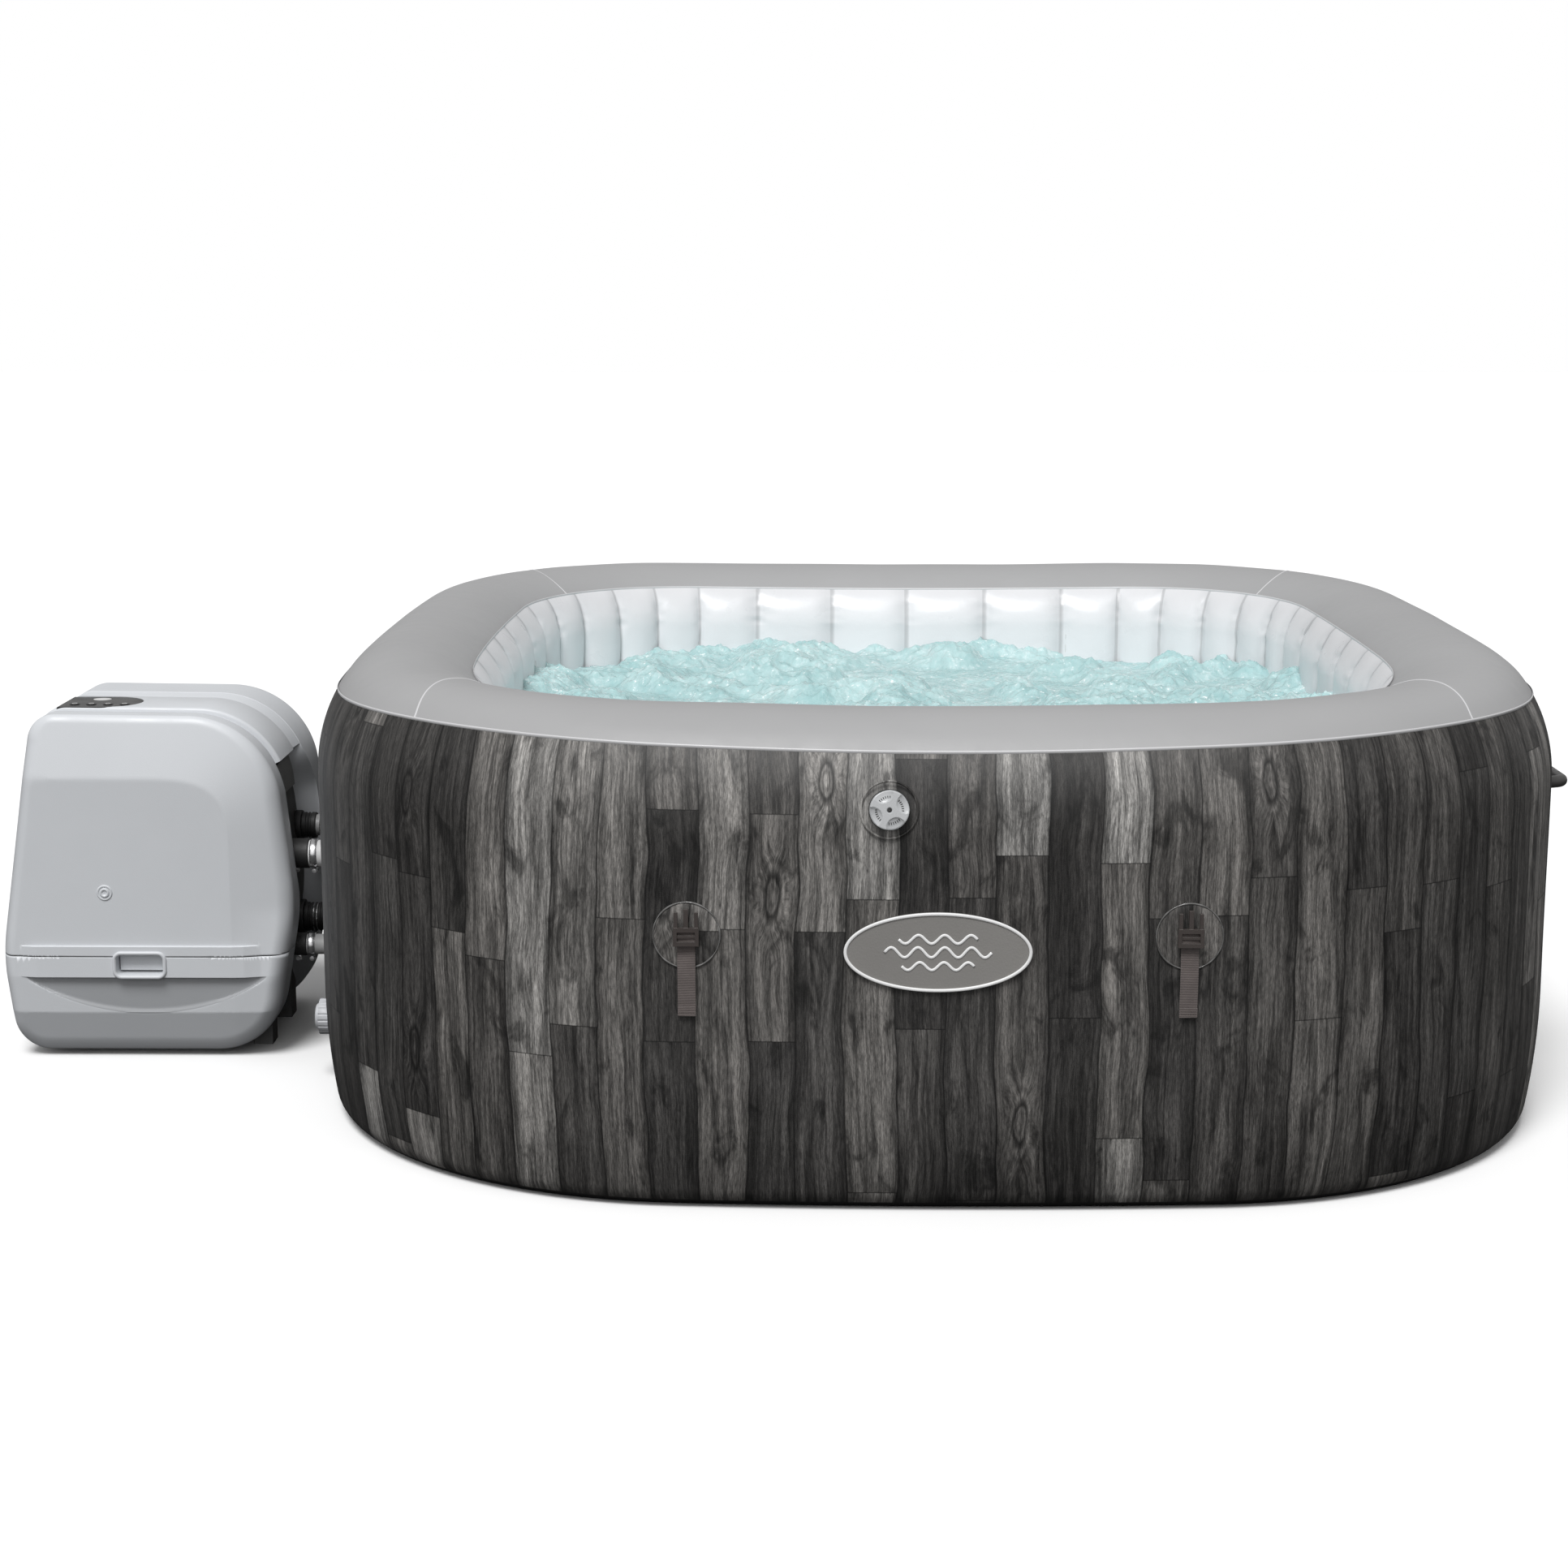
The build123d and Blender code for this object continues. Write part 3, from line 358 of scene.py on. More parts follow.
def webbing_paint():
    """Woven strap: ribs across and a fine twill along it, from the UV map in metres, with painted shade in
    the weave's hollows.
    """
    paint = Paint("webbing", Roughness=0.75)
    paint.shader.inputs["Sheen Weight"].default_value = 0.3
    u, v, _ = paint.split(paint.place("sheet"))
    ribs = paint.math("SINE", paint.times(v, TAU / 0.0016))
    warp = paint.math("SINE", paint.times(u, TAU / 0.0011))
    weave = paint.math("MULTIPLY_ADD", warp, 0.3, ribs)
    worn = paint.noise(paint.place(), 60.0, 4.0)
    base = paint.mix(paint.step(worn, 0.3, 0.7), (0.125, 0.102, 0.097), (0.175, 0.145, 0.138))
    # painted shade: darker in the hollows of the weave, where the bump is low
    paint.colour(paint.mix(paint.step(weave, -1.2, 1.2), (0.080, 0.065, 0.061), base))
    paint.bump(weave, 0.00022, 0.9)
    return paint.material


def brushed(name, tone, rough=0.28, stretch=(40.0, 900.0, 900.0)):
    """Bright metal with fine lines drawn along it."""
    paint = Paint(name, Metallic=1.0)
    mapping = paint.node("ShaderNodeMapping", Vector=paint.place(), Scale=stretch)
    lines = paint.noise(mapping.outputs[0], 1.0, 3.0)
    paint.colour(paint.ramp(lines, [(0.2, tuple(c * 0.85 for c in tone)), (0.8, tone)]))
    paint.rough(paint.step(lines, 0.2, 0.8, rough - 0.06, rough + 0.1))
    paint.bump(lines, 0.00008)
    return paint.material


def pleated_paper():
    """The filter's fleece: upright pleats round the cartridge, with painted shade in their folds."""
    paint = Paint("filter_fleece", Roughness=0.85)
    low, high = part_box("filter_cartridge")
    centre = (low + high) / 2
    _, y, z = paint.split(paint.place())
    turn = paint.math("ARCTAN2", paint.minus(z, centre.z), paint.minus(y, centre.y))
    pleat = paint.math("SINE", paint.times(turn, 60.0))
    # painted shade: the fleece is darker in the pleats' inward folds
    paint.colour(paint.mix(paint.step(pleat, -1.0, 1.0), (0.55, 0.62, 0.70), (0.86, 0.90, 0.94)))
    paint.bump(pleat, 0.002)
    return paint.material


def circuit_paint():
    """Green lacquered board with paler tracks and pads."""
    paint = Paint("circuit_board", Roughness=0.35)
    tracks = paint.node("ShaderNodeTexBrick", Vector=paint.place(), Scale=60.0)
    tracks.inputs["Color1"].default_value = (0.015, 0.16, 0.06, 1)
    tracks.inputs["Color2"].default_value = (0.02, 0.20, 0.08, 1)
    tracks.inputs["Mortar"].default_value = (0.10, 0.36, 0.14, 1)
    paint.colour(tracks.outputs["Color"])
    return paint.material


CASING_TONE = (0.600, 0.618, 0.643)
PAINTS = {
    "rim": vinyl("rim_vinyl", (0.340, 0.340, 0.344), 0.44, 0.4),
    "liner": vinyl("liner_vinyl", (0.70, 0.715, 0.745), 0.30, 0.5, 0.0012),
    "pleated": vinyl("pleated_liner_vinyl", (0.78, 0.780, 0.800), 0.32, 0.4, 0.0010, pleated=True),
    "base": vinyl("base_vinyl", grey(0.012), 0.6, 0.3),
    "web": vinyl("web_vinyl", grey(0.62), 0.55, 0.3),
    "water": water_paint(),
    "casing": moulded("pump_casing", CASING_TONE, 0.40, 900.0, 0.00012, 0.02),
    "spine": moulded("pump_spine_plastic", grey(0.055), 0.48, 900.0, 0.00015, 0.05),
    "insert": moulded("shoulder_insert", grey(0.18), 0.42, 900.0, 0.00012, 0.03),
    "panel": moulded("panel_gloss", grey(0.010), 0.22, 60.0, 0.00003, 0.1, specular=0.15),
    "print": moulded("panel_print", grey(0.62), 0.4, 300.0, 0.00005, 0.03),
    "key": moulded("button_gloss", grey(0.022), 0.22, 60.0, 0.00003, 0.1, specular=0.2),
    "fitting": moulded("fitting_plastic", (0.47, 0.48, 0.50), 0.38, 500.0, 0.0001, 0.03),
    "valve": moulded("valve_plastic", (0.47, 0.48, 0.49), 0.30, 400.0, 0.0001, 0.04),
    "badge": moulded("badge_field", (0.235, 0.227, 0.217), 0.45, 400.0, 0.0002, 0.05),
    "badge_edge": moulded("badge_border", grey(0.82), 0.35, 300.0, 0.0001, 0.02),
    "patch": moulded("welded_patch", grey(0.045, 0.02), 0.34, 90.0, 0.0004, 0.35, sheen_scale=20.0),
    # the weld bead is grey vinyl; its light tone and strong blotchy mottling are partly painted highlight
    # along the patch's edge
    "patch_edge": moulded("weld_bead", grey(0.13, 0.02), 0.16, 120.0, 0.0003, 0.6, sheen_scale=38.0),
    "buckle": moulded("buckle_plastic", (0.055, 0.046, 0.043), 0.33, 500.0, 0.0001, 0.06),
    "webbing": webbing_paint(),
    "webbing_thread": moulded("webbing_thread", (0.060, 0.048, 0.045), 0.7, 500.0, 0.0001, 0.1),
    "rubber": moulded("black_rubber", grey(0.018), 0.55, 500.0, 0.0002, 0.08),
    "hose_dark": moulded("dark_hose", grey(0.022), 0.42, 300.0, 0.0002, 0.08),
    "hose_grey": moulded("grey_hose", grey(0.30), 0.42, 300.0, 0.0002, 0.05),
    "hose_white": moulded("white_hose", grey(0.62), 0.42, 300.0, 0.0002, 0.04),
    "steel": brushed("stainless_steel", (0.72, 0.72, 0.73)),
    "foot": moulded("foot_rubber", grey(0.13), 0.55, 300.0, 0.0003, 0.08),
    "motor": moulded("painted_motor", grey(0.10), 0.5, 300.0, 0.0004, 0.12),
    "impeller": moulded("impeller_plastic", grey(0.05), 0.4, 300.0, 0.0002, 0.08),
    "pipe": moulded("inner_pipe", grey(0.06), 0.45, 300.0, 0.0002, 0.08),
    "spring": brushed("spring_steel", (0.60, 0.60, 0.61), 0.3, (600.0, 600.0, 600.0)),
    "fleece": pleated_paper(),
    "board": circuit_paint(),
}


# ---------------------------------------------------------------- mesh helpers
def add_piece(name, points, faces, paint, body="tub", smooth=True, uv=None):
    """A mesh piece that rides on a body, or on none.
    uv holds one (u, v) for each corner of each face."""
    mesh = bpy.data.meshes.new(name)
    mesh.from_pydata([tuple(p) for p in points], [], [tuple(int(i) for i in f) for f in faces])
    mesh.materials.append(paint if isinstance(paint, bpy.types.Material) else PAINTS[paint])
    if uv is not None:
        layer = mesh.uv_layers.new(name="sheet")
        layer.data.foreach_set("uv", np.asarray(uv, np.float32).ravel())
    mesh.validate()
    if smooth:
        mesh.shade_smooth()
    piece = bpy.data.objects.new(name, mesh)
    bpy.context.scene.collection.objects.link(piece)
    if body:
        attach(piece, body)
    return piece


def ring_faces(rows, columns, closed):
    """Quads between rows of points; closed joins each row's end to its start.
    Returns faces and their columns."""
    faces = []
    corners = []
    last = columns if closed else columns - 1
    for row in range(rows - 1):
        for column in range(last):
            after = (column + 1) % columns
            faces.append((row * columns + column, row * columns + after,
                          (row + 1) * columns + after, (row + 1) * columns + column))
            corners.append(((row, column), (row, column + 1), (row + 1, column + 1), (row + 1, column)))
    return faces, corners


def wobble(x, y, z, scale, seed=0.0):
    """Smooth seeded noise from -1 to 1 at a place."""
    return noise.noise(Vector((x * scale + seed, y * scale - seed, z * scale + 2.3 * seed)))


# ---------------------------------------------------------------- the tub's plan and section
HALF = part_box("outer_wall_skin")[1].x
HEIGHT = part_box("rim_panel_front")[1].z
SIDE_RADIUS = 6.0
CORNER_RADIUS = 0.569
SIDE_OFFSET = SIDE_RADIUS - HALF
CORNER_AT = (math.sqrt(2 * (SIDE_RADIUS - CORNER_RADIUS) ** 2 - SIDE_OFFSET ** 2) - SIDE_OFFSET) / 2
SIDE_ANGLE = math.atan2(CORNER_AT, CORNER_AT + SIDE_OFFSET)
CORNER_ANGLE = math.pi / 4 - SIDE_ANGLE
SIDE_LENGTH = 2 * SIDE_ANGLE * SIDE_RADIUS
CORNER_LENGTH = 2 * CORNER_ANGLE * CORNER_RADIUS
QUARTER = SIDE_LENGTH + CORNER_LENGTH
PERIMETER = 4 * QUARTER


def plan_frame(u):
    """Arc centre, radius and outward direction at u metres round the widest line.
    u = 0 is the middle of the left side, and it runs on past the front."""
    quarter, rest = divmod(u, QUARTER)
    middle = math.pi + quarter * math.pi / 2
    if rest < SIDE_LENGTH / 2:
        centre = (-SIDE_OFFSET * math.cos(middle), -SIDE_OFFSET * math.sin(middle))
        return centre, SIDE_RADIUS, middle + rest / SIDE_RADIUS
    if rest < SIDE_LENGTH / 2 + CORNER_LENGTH:
        diagonal = middle + math.pi / 4
        reach = CORNER_AT * math.sqrt(2)
        centre = (reach * math.cos(diagonal), reach * math.sin(diagonal))
        return centre, CORNER_RADIUS, diagonal - CORNER_ANGLE + (rest - SIDE_LENGTH / 2) / CORNER_RADIUS
    middle += math.pi / 2
    centre = (-SIDE_OFFSET * math.cos(middle), -SIDE_OFFSET * math.sin(middle))
    return centre, SIDE_RADIUS, middle - (QUARTER - rest) / SIDE_RADIUS


def tub_point(u, inset, height):
    """A point of the tub at u metres round, standing in from the widest line."""
    centre, radius, turn = plan_frame(u % PERIMETER)
    reach = radius - inset
    return (centre[0] + reach * math.cos(turn), centre[1] + reach * math.sin(turn), height)


def side_share(u):
    """1 at the middle of a side, falling to 0 at the corners' middles."""
    rest = (u + QUARTER / 2) % QUARTER - QUARTER / 2
    return math.cos(min(1.0, abs(rest) / (QUARTER / 2)) * math.pi / 2) ** 2


def front_share(u):
    """1 along the front, falling to 0 part of the way back along each side."""
    _, y, _ = tub_point(u, 0, 0)
    share = min(1.0, max(0.0, (-y - 0.25) / 0.50))
    return share * share * (3 - 2 * share)


def seam_drop(u):
    """How far the wall's top weld has slumped: most at the middle of the front."""
    return 0.003 * side_share(u) + 0.013 * side_share(u) * front_share(u)


def crown_drop(u):
    """How far the inflated rim has slumped below its full height."""
    return 0.008 * side_share(u) + 0.024 * front_share(u)


def arc_points(inset, height, size, start, end, count):
    """Points of a section arc as (inset, height); angle 0 points out of the tub and 90 up."""
    found = []
    for index in range(count + 1):
        turn = math.radians(start + (end - start) * index / count)
        found.append((inset - size * math.cos(turn), height + size * math.sin(turn)))
    return found


BASE_INSET = 0.048
BASE_ROUND = 0.035
BELLY_Z = 0.190
SHOULDER_Z = 0.500
CROWN_INSET = 0.125
CROWN_RADIUS = 0.100
RIM_SEAM_Z = 0.620
INNER_CROWN = 0.160
INNER_SEAM_INSET = 0.225
LINER_ROLL = 0.088
LINER_FOOT = 0.228
FLOOR_Z = 0.003
belly_rise = BELLY_Z - BASE_ROUND
belly_radius = (belly_rise ** 2 + BASE_INSET ** 2 - BASE_ROUND ** 2) / (2 * (BASE_INSET - BASE_ROUND))
belly_angle = math.degrees(math.atan2(belly_rise, belly_radius - BASE_INSET))
rise = HEIGHT - SHOULDER_Z - CROWN_RADIUS
shoulder_angle = 2 * math.degrees(math.atan2(CROWN_INSET - CROWN_RADIUS, rise))
shoulder_radius = CROWN_RADIUS + rise / math.sin(math.radians(shoulder_angle))
seam_angle = math.degrees(math.asin((RIM_SEAM_Z - SHOULDER_Z) / shoulder_radius))
inner_angle = 180 - math.degrees(math.acos((INNER_SEAM_INSET - CROWN_INSET) / INNER_CROWN))
roll_inset = INNER_SEAM_INSET + LINER_ROLL * math.cos(math.radians(inner_angle))
roll_height = (HEIGHT - INNER_CROWN * (1 - math.sin(math.radians(inner_angle)))
               - LINER_ROLL * math.sin(math.radians(inner_angle)))
liner_inset = roll_inset + LINER_ROLL
liner_drop = roll_height - FLOOR_Z
liner_lean = liner_inset - LINER_FOOT
liner_bulge = (liner_drop ** 2 + liner_lean ** 2) / (2 * liner_lean)
liner_angle = math.degrees(math.asin(liner_drop / liner_bulge))


def chain(*stretches):
    """Joins stretches of section points, without the doubled ends."""
    points = list(stretches[0])
    for stretch in stretches[1:]:
        points += stretch[1:]
    return points


WALL_SECTION = chain(
    [(BASE_INSET + 0.05, 0.0), (BASE_INSET + 0.02, 0.0), (BASE_INSET, 0.0)],
    arc_points(BASE_INSET, BASE_ROUND, BASE_ROUND, -90, -belly_angle, 10),
    arc_points(belly_radius, BELLY_Z, belly_radius, -belly_angle, 0, 8),
    [(0.0, BELLY_Z + (SHOULDER_Z - BELLY_Z) * k / 12) for k in range(13)],
    arc_points(shoulder_radius, SHOULDER_Z, shoulder_radius, 0, seam_angle, 12),
)
RIM_SECTION = chain(
    arc_points(shoulder_radius, SHOULDER_Z, shoulder_radius, seam_angle, shoulder_angle, 3),
    arc_points(CROWN_INSET, HEIGHT - CROWN_RADIUS, CROWN_RADIUS, shoulder_angle, 90, 13),
    arc_points(CROWN_INSET, HEIGHT - INNER_CROWN, INNER_CROWN, 90, inner_angle, 14),
)
LINER_SECTION = chain(
    arc_points(roll_inset, roll_height, LINER_ROLL, inner_angle, 180, 18),
    arc_points(liner_inset - liner_bulge, roll_height, liner_bulge, 180, 180 + liner_angle, 40),
)


def lengths(section):
    """Metres along a section at each of its points."""
    total = [0.0]
    for before, here in zip(section, section[1:]):
        total.append(total[-1] + math.dist(before, here))
    return total


def build_wall():
    """The printed outer wall, with the black weld band at its foot."""
    columns = 720
    run = lengths(WALL_SECTION)
    points = []
    for inset, height in WALL_SECTION:
        for column in range(columns):
            u = PERIMETER * column / columns
            free = min(1.0, max(0.0, (height - 0.03) / 0.1)) * min(1.0,
                                                                   max(0.0, (RIM_SEAM_Z - height) / 0.03))
            swell = 0.0012 * wobble(u, height * 0.6, 0.0, 7.0, 3.0) * free
            top = min(1.0, max(0.0, (height - 0.42) / 0.20))
            points.append(tub_point(u, inset + swell + 0.0008, height - seam_drop(u) * top * top))
    faces, corners = ring_faces(len(WALL_SECTION), columns, True)
    uv = [(PERIMETER * c / columns, run[r]) for quad in corners for r, c in quad]
    wall = add_piece("printed_wall", points, faces, "print_wood", uv=uv)
    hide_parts("outer_wall_skin")


def rim_drop(u, share):
    """How far the rim has slumped at a share (0 to 1) of the way over it."""
    over = math.sin(min(1.0, share * 1.6) * math.pi / 2)
    return seam_drop(u) * (1 - over) + crown_drop(u) * over


def rim_point(u, index):
    inset, height = RIM_SECTION[index]
    share = index / (len(RIM_SECTION) - 1)
    pucker = 0.0010 * wobble(u, share, 0, 30.0, 9.0) * max(0.0, 1 - abs(share - 0.97) * 12)
    soft = 0.0012 * wobble(u, share * 0.3, 0, 6.0, 1.0) * math.sin(math.pi * share)
    return tub_point(u, inset + pucker, height - rim_drop(u, share) - 0.0006 + soft)


RIM_SWING = 0.10        # the corner welds swing this far round between the outer and inner seam


def build_rim():
    """Four rim panels, welded to each other along swung lines at the corners."""
    columns = 180
    rows = len(RIM_SECTION)
    for quarter, name in enumerate(("left", "front", "right", "back")):
        points = []
        for index in range(rows):
            swing = RIM_SWING * math.sin(index / (rows - 1) * math.pi / 2) ** 1.5
            grow = swing if name in ("front", "back") else -swing
            start = QUARTER * (quarter - 0.5) - grow
            end = QUARTER * (quarter + 0.5) + grow
            for column in range(columns):
                points.append(rim_point(start + (end - start) * column / (columns - 1), index))
        faces, _ = ring_faces(rows, columns, False)
        panel = add_piece(f"rim_{name}", points, faces, "rim")
        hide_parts(f"rim_panel_{name}")
    lifted = 0.0007
    for corner in range(4):
        sign = 1 if corner % 2 == 0 else -1
        points = []
        for index in range(rows):
            swing = RIM_SWING * math.sin(index / (rows - 1) * math.pi / 2) ** 1.5
            u = QUARTER * (corner + 0.5) - sign * swing
            for shift, height in ((-0.0022, -0.0002), (-0.0009, lifted), (0.0009, lifted), (0.0022, -0.0002)):
                x, y, z = rim_point(u + shift, index)
                points.append((x, y, z + height))
        faces, _ = ring_faces(rows, 4, False)
        add_piece(f"rim_weld_{corner + 1}", points, faces, "weld")
    for name, section, lift in (("outer", RIM_SECTION[0], 0.0016), ("inner", RIM_SECTION[-1], 0.0014)):
        columns = 480
        points = []
        for step in range(5):
            turn = math.pi * step / 4
            for column in range(columns):
                u = PERIMETER * column / columns
                drop = rim_drop(u, 0.0 if name == "outer" else 1.0)
                out = lift * math.sin(turn)
                along = 0.0025 * math.cos(turn)
                inset = section[0] + (-out * 0.8 if name == "outer" else out * 0.7)
                points.append(tub_point(u, inset, section[1] - drop + along + out * 0.5))
        faces, _ = ring_faces(5, columns, True)
        add_piece(f"rim_{name}_seam", points, faces, "weld")


PLEATS = 44             # webs seen round the liner, as pleats


def build_liner():
    """The wet side: a rolled top, then bays that swell between the webs, with gathers beside them."""
    columns = PLEATS * 20
    rows = len(LINER_SECTION)
    run = lengths(LINER_SECTION)
    total = run[-1]
    points, bays = [], []
    for row, (inset, height) in enumerate(LINER_SECTION):
        share = run[row] / total
        free = min(1.0, run[row] / 0.05) * min(1.0, (total - run[row]) / 0.08)
        for column in range(columns):
            u = PERIMETER * column / columns
            lean = 0.012 * wobble(math.floor(column / 20 + 0.5) * 1.7, height * 2.0, 0.0, 1.0, 5.0)
            bay = ((column / 20.0 + lean * PLEATS / PERIMETER) % 1.0)
            bays.append(bay)
            swell = 0.0170 * (math.sin(math.pi * bay) ** 0.42 - 0.75)
            beside = math.exp(-((min(bay, 1 - bay)) / 0.16) ** 2)
            gather = 0.0030 * beside * wobble(u, height * 2.0, 0.0, 38.0, 7.0)
            soft = 0.0022 * wobble(u, height * 0.6, 0.0, 11.0, 2.0)
            deeper = (swell + gather + soft) * free
            drop = rim_drop(u, 1.0) * max(0.0, 1 - share * 5)
            points.append(tub_point(u, inset + deeper, height - drop))
    faces, corners = ring_faces(rows, columns, True)
    uv = []
    for quad in corners:
        shares = [bays[r * columns + c % columns] for r, c in quad]
        near = shares[0]
        uv += [(share + (1 if near - share > 0.5 else -1 if share - near > 0.5 else 0),
                0.0) for share in shares]
    liner = add_piece("pleated_liner", points, faces, "pleated", uv=uv)
    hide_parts("wall_liner")


def build_water():
    """Aerated water: a rough surface inside the liner, closed below."""
    level = 0.508
    count = 420
    reach = HALF - liner_inset + 0.004
    axis = np.linspace(-reach, reach, count)
    index = {}
    points = []
    corner_centre = CORNER_AT
    corner_reach = CORNER_RADIUS - liner_inset + 0.002

    def inside(x, y):
        ax, ay = abs(x), abs(y)
        if ax > corner_centre and ay > corner_centre:
            return math.hypot(ax - corner_centre, ay - corner_centre) < corner_reach
        return True

    for i, x in enumerate(axis):
        for j, y in enumerate(axis):
            if inside(x, y):
                place = Vector((x * 3.4, y * 3.4, 4.0))
                mound = max(0.0, noise.fractal(place * 2.1, 1.0, 2.0, 2) + 0.05) ** 0.8
                swell = noise.fractal(place * 0.6, 1.0, 2.0, 2)
                chop = 1 - abs(noise.fractal(place * 4.0, 0.9, 2.1, 3))
                fizz = noise.fractal(place * 16.0, 0.7, 2.0, 3)
                near = min(1.0, max(abs(x), abs(y)) / 0.66) ** 2
                churned = 0.35 + 0.65 * min(1.0, mound * 2.2)
                height = (level + 0.042 * mound + 0.008 * swell + 0.018 * churned * (chop - 0.7)
                          + 0.0055 * churned * fizz + 0.012 * near)
                index[i, j] = len(points)
                points.append((x, y, height))
    faces = []
    for (i, j) in list(index):
        quad = [(i, j), (i + 1, j), (i + 1, j + 1), (i, j + 1)]
        if all(q in index for q in quad):
            faces.append([index[q] for q in quad])
    sides = {}
    for face in faces:
        for a, b in zip(face, face[1:] + face[:1]):
            if (b, a) in sides:
                del sides[b, a]
            else:
                sides[a, b] = True
    low = {}
    for a, b in sides:
        for end in (a, b):
            if end not in low:
                low[end] = len(points)
                x, y, _ = points[end]
                points.append((x, y, level - 0.10))
        faces.append([b, a, low[a], low[b]])
    loop = {a: b for a, b in sides}
    start = next(iter(loop))
    ring = [start]
    while loop[ring[-1]] != start:
        ring.append(loop[ring[-1]])
    faces.append([low[v] for v in reversed(ring)])
    add_piece("water_surface", points, faces, "water")


PAINTS["print_wood"] = wood_print(PERIMETER)
build_wall()
PAINTS["weld"] = vinyl("weld_seam", (0.56, 0.56, 0.57), 0.35, 0.5)
build_rim()
build_liner()
build_water()



# ---------------------------------------------------------------- shapes turned on an axis
def lathe(name, centre, axis, profile, paint, body="tub", segments=64, wave=None):
    """Turns a profile of (radius, distance along the axis) round an axis.
    wave(turn, k) can change the radius."""
    towards = Vector(axis).normalized()
    side = towards.orthogonal().normalized()
    other = towards.cross(side)
    points = []
    for k, (radius, along) in enumerate(profile):
        for step in range(segments):
            turn = TAU * step / segments
            reach = max(radius + (wave(turn, k) if wave else 0.0), 0.00001)
            points.append(Vector(centre) + towards * along
                          + side * (reach * math.cos(turn)) + other * (reach * math.sin(turn)))
    faces, _ = ring_faces(len(profile), segments, True)
    piece = add_piece(name, points, faces, paint, body)
    piece.data.set_sharp_from_angle(angle=math.radians(38))
    return piece


def merge_pieces(name, pieces, body="tub"):
    """Joins several pieces of one material into one."""
    points, faces = [], []
    for piece in pieces:
        first = len(points)
        points += [piece.matrix_world @ v.co for v in piece.data.vertices]
        faces += [[first + v for v in f.vertices] for f in piece.data.polygons]
    paint = pieces[0].data.materials[0]
    for piece in pieces:
        bpy.data.objects.remove(piece)
    whole = add_piece(name, points, faces, paint, body)
    whole.data.set_sharp_from_angle(angle=math.radians(35))
    return whole


# ---------------------------------------------------------------- pump unit
PUMP_CORNERS = [
    ((-1.366, 0.540), 0.045), ((-1.000, 0.536), 0.140), ((-0.969, 0.236), 0.300),
    ((-1.008, 0.010), 0.105), ((-1.407, 0.010), 0.055), ((-1.424, 0.165), 0.300),
]
PUMP_FRONT = -0.198
PUMP_BACK = 0.200
CHANNEL_FRONT = -0.115
CHANNEL_BACK = 0.072
CHANNEL_BACK_LOW = 0.125
CHANNEL_LEFT = -1.372
CHANNEL_ROUND = 0.034
SHELLS_MEET = -0.0215
SPLIT_Z = 0.168
COVER_BACK = -0.100
GRIP = (-1.205, 0.155)          # middle of the cover's catch, X and Z
EDGE_INSET = 0.024              # how far the casing's front edge is rounded off
EDGE_DEPTH = 0.040
TOP_EDGE = 0.50                 # the top edge is this much tighter
LIP_DROP = 0.014                # the shell curls down this far to its edge above the channel


def pump_outline():
    """The pump unit's outline from its front, as points (x, z) with the outward direction at each."""
    corners = [np.array(place) for place, _ in PUMP_CORNERS]
    count = len(corners)
    arcs = []
    for i in range(count):
        before, here, after = corners[i - 1], corners[i], corners[(i + 1) % count]
        first = (here - before) / np.linalg.norm(here - before)
        second = (after - here) / np.linalg.norm(after - here)
        radius = PUMP_CORNERS[i][1]
        turn = math.acos(float(np.clip(first @ second, -1, 1)))
        reach = radius * math.tan(turn / 2)
        inward = np.array([first[1], -first[0]])
        centre = here - first * reach + inward * radius
        start = math.atan2(-inward[1], -inward[0])
        arcs.append((centre, radius, start, turn))
    points, outwards = [], []
    for i, (centre, radius, start, turn) in enumerate(arcs):
        steps = max(6, int(math.degrees(turn) / 3))
        for k in range(steps + 1):
            angle = start - turn * k / steps
            out = np.array([math.cos(angle), math.sin(angle)])
            points.append(centre + radius * out)
            outwards.append(out)
        following, size, begin, _ = arcs[(i + 1) % count]
        end = following + size * np.array([math.cos(begin), math.sin(begin)])
        gap = np.linalg.norm(end - points[-1])
        parts = int(gap / 0.007)
        last = points[-1]
        for k in range(1, parts):
            points.append(last + (end - last) * k / parts)
            outwards.append(outwards[-1])
    return np.array(points), np.array(outwards)


OUTLINE, OUTWARD = pump_outline()


def front_edge(x):
    """Where the front shell ends along Y: at the channel, and further back round its left end."""
    if x < CHANNEL_LEFT:
        return SHELLS_MEET - 0.0003
    bend = min(0.0, x - (CHANNEL_LEFT + CHANNEL_ROUND))
    return CHANNEL_FRONT + CHANNEL_ROUND - math.sqrt(CHANNEL_ROUND ** 2 - bend ** 2)


def back_edge(x, z):
    if x < CHANNEL_LEFT:
        return SHELLS_MEET + 0.0003
    bend = min(0.0, x - (CHANNEL_LEFT + CHANNEL_ROUND))
    low = min(1.0, max(0.0, (0.46 - z) / 0.09))
    low = low * low * (3 - 2 * low)
    if x < -1.10:
        low = 1.0 if z < 0.2 else 0.0
    edge = CHANNEL_BACK + (CHANNEL_BACK_LOW - CHANNEL_BACK) * low
    return edge - CHANNEL_ROUND + math.sqrt(CHANNEL_ROUND ** 2 - bend ** 2)


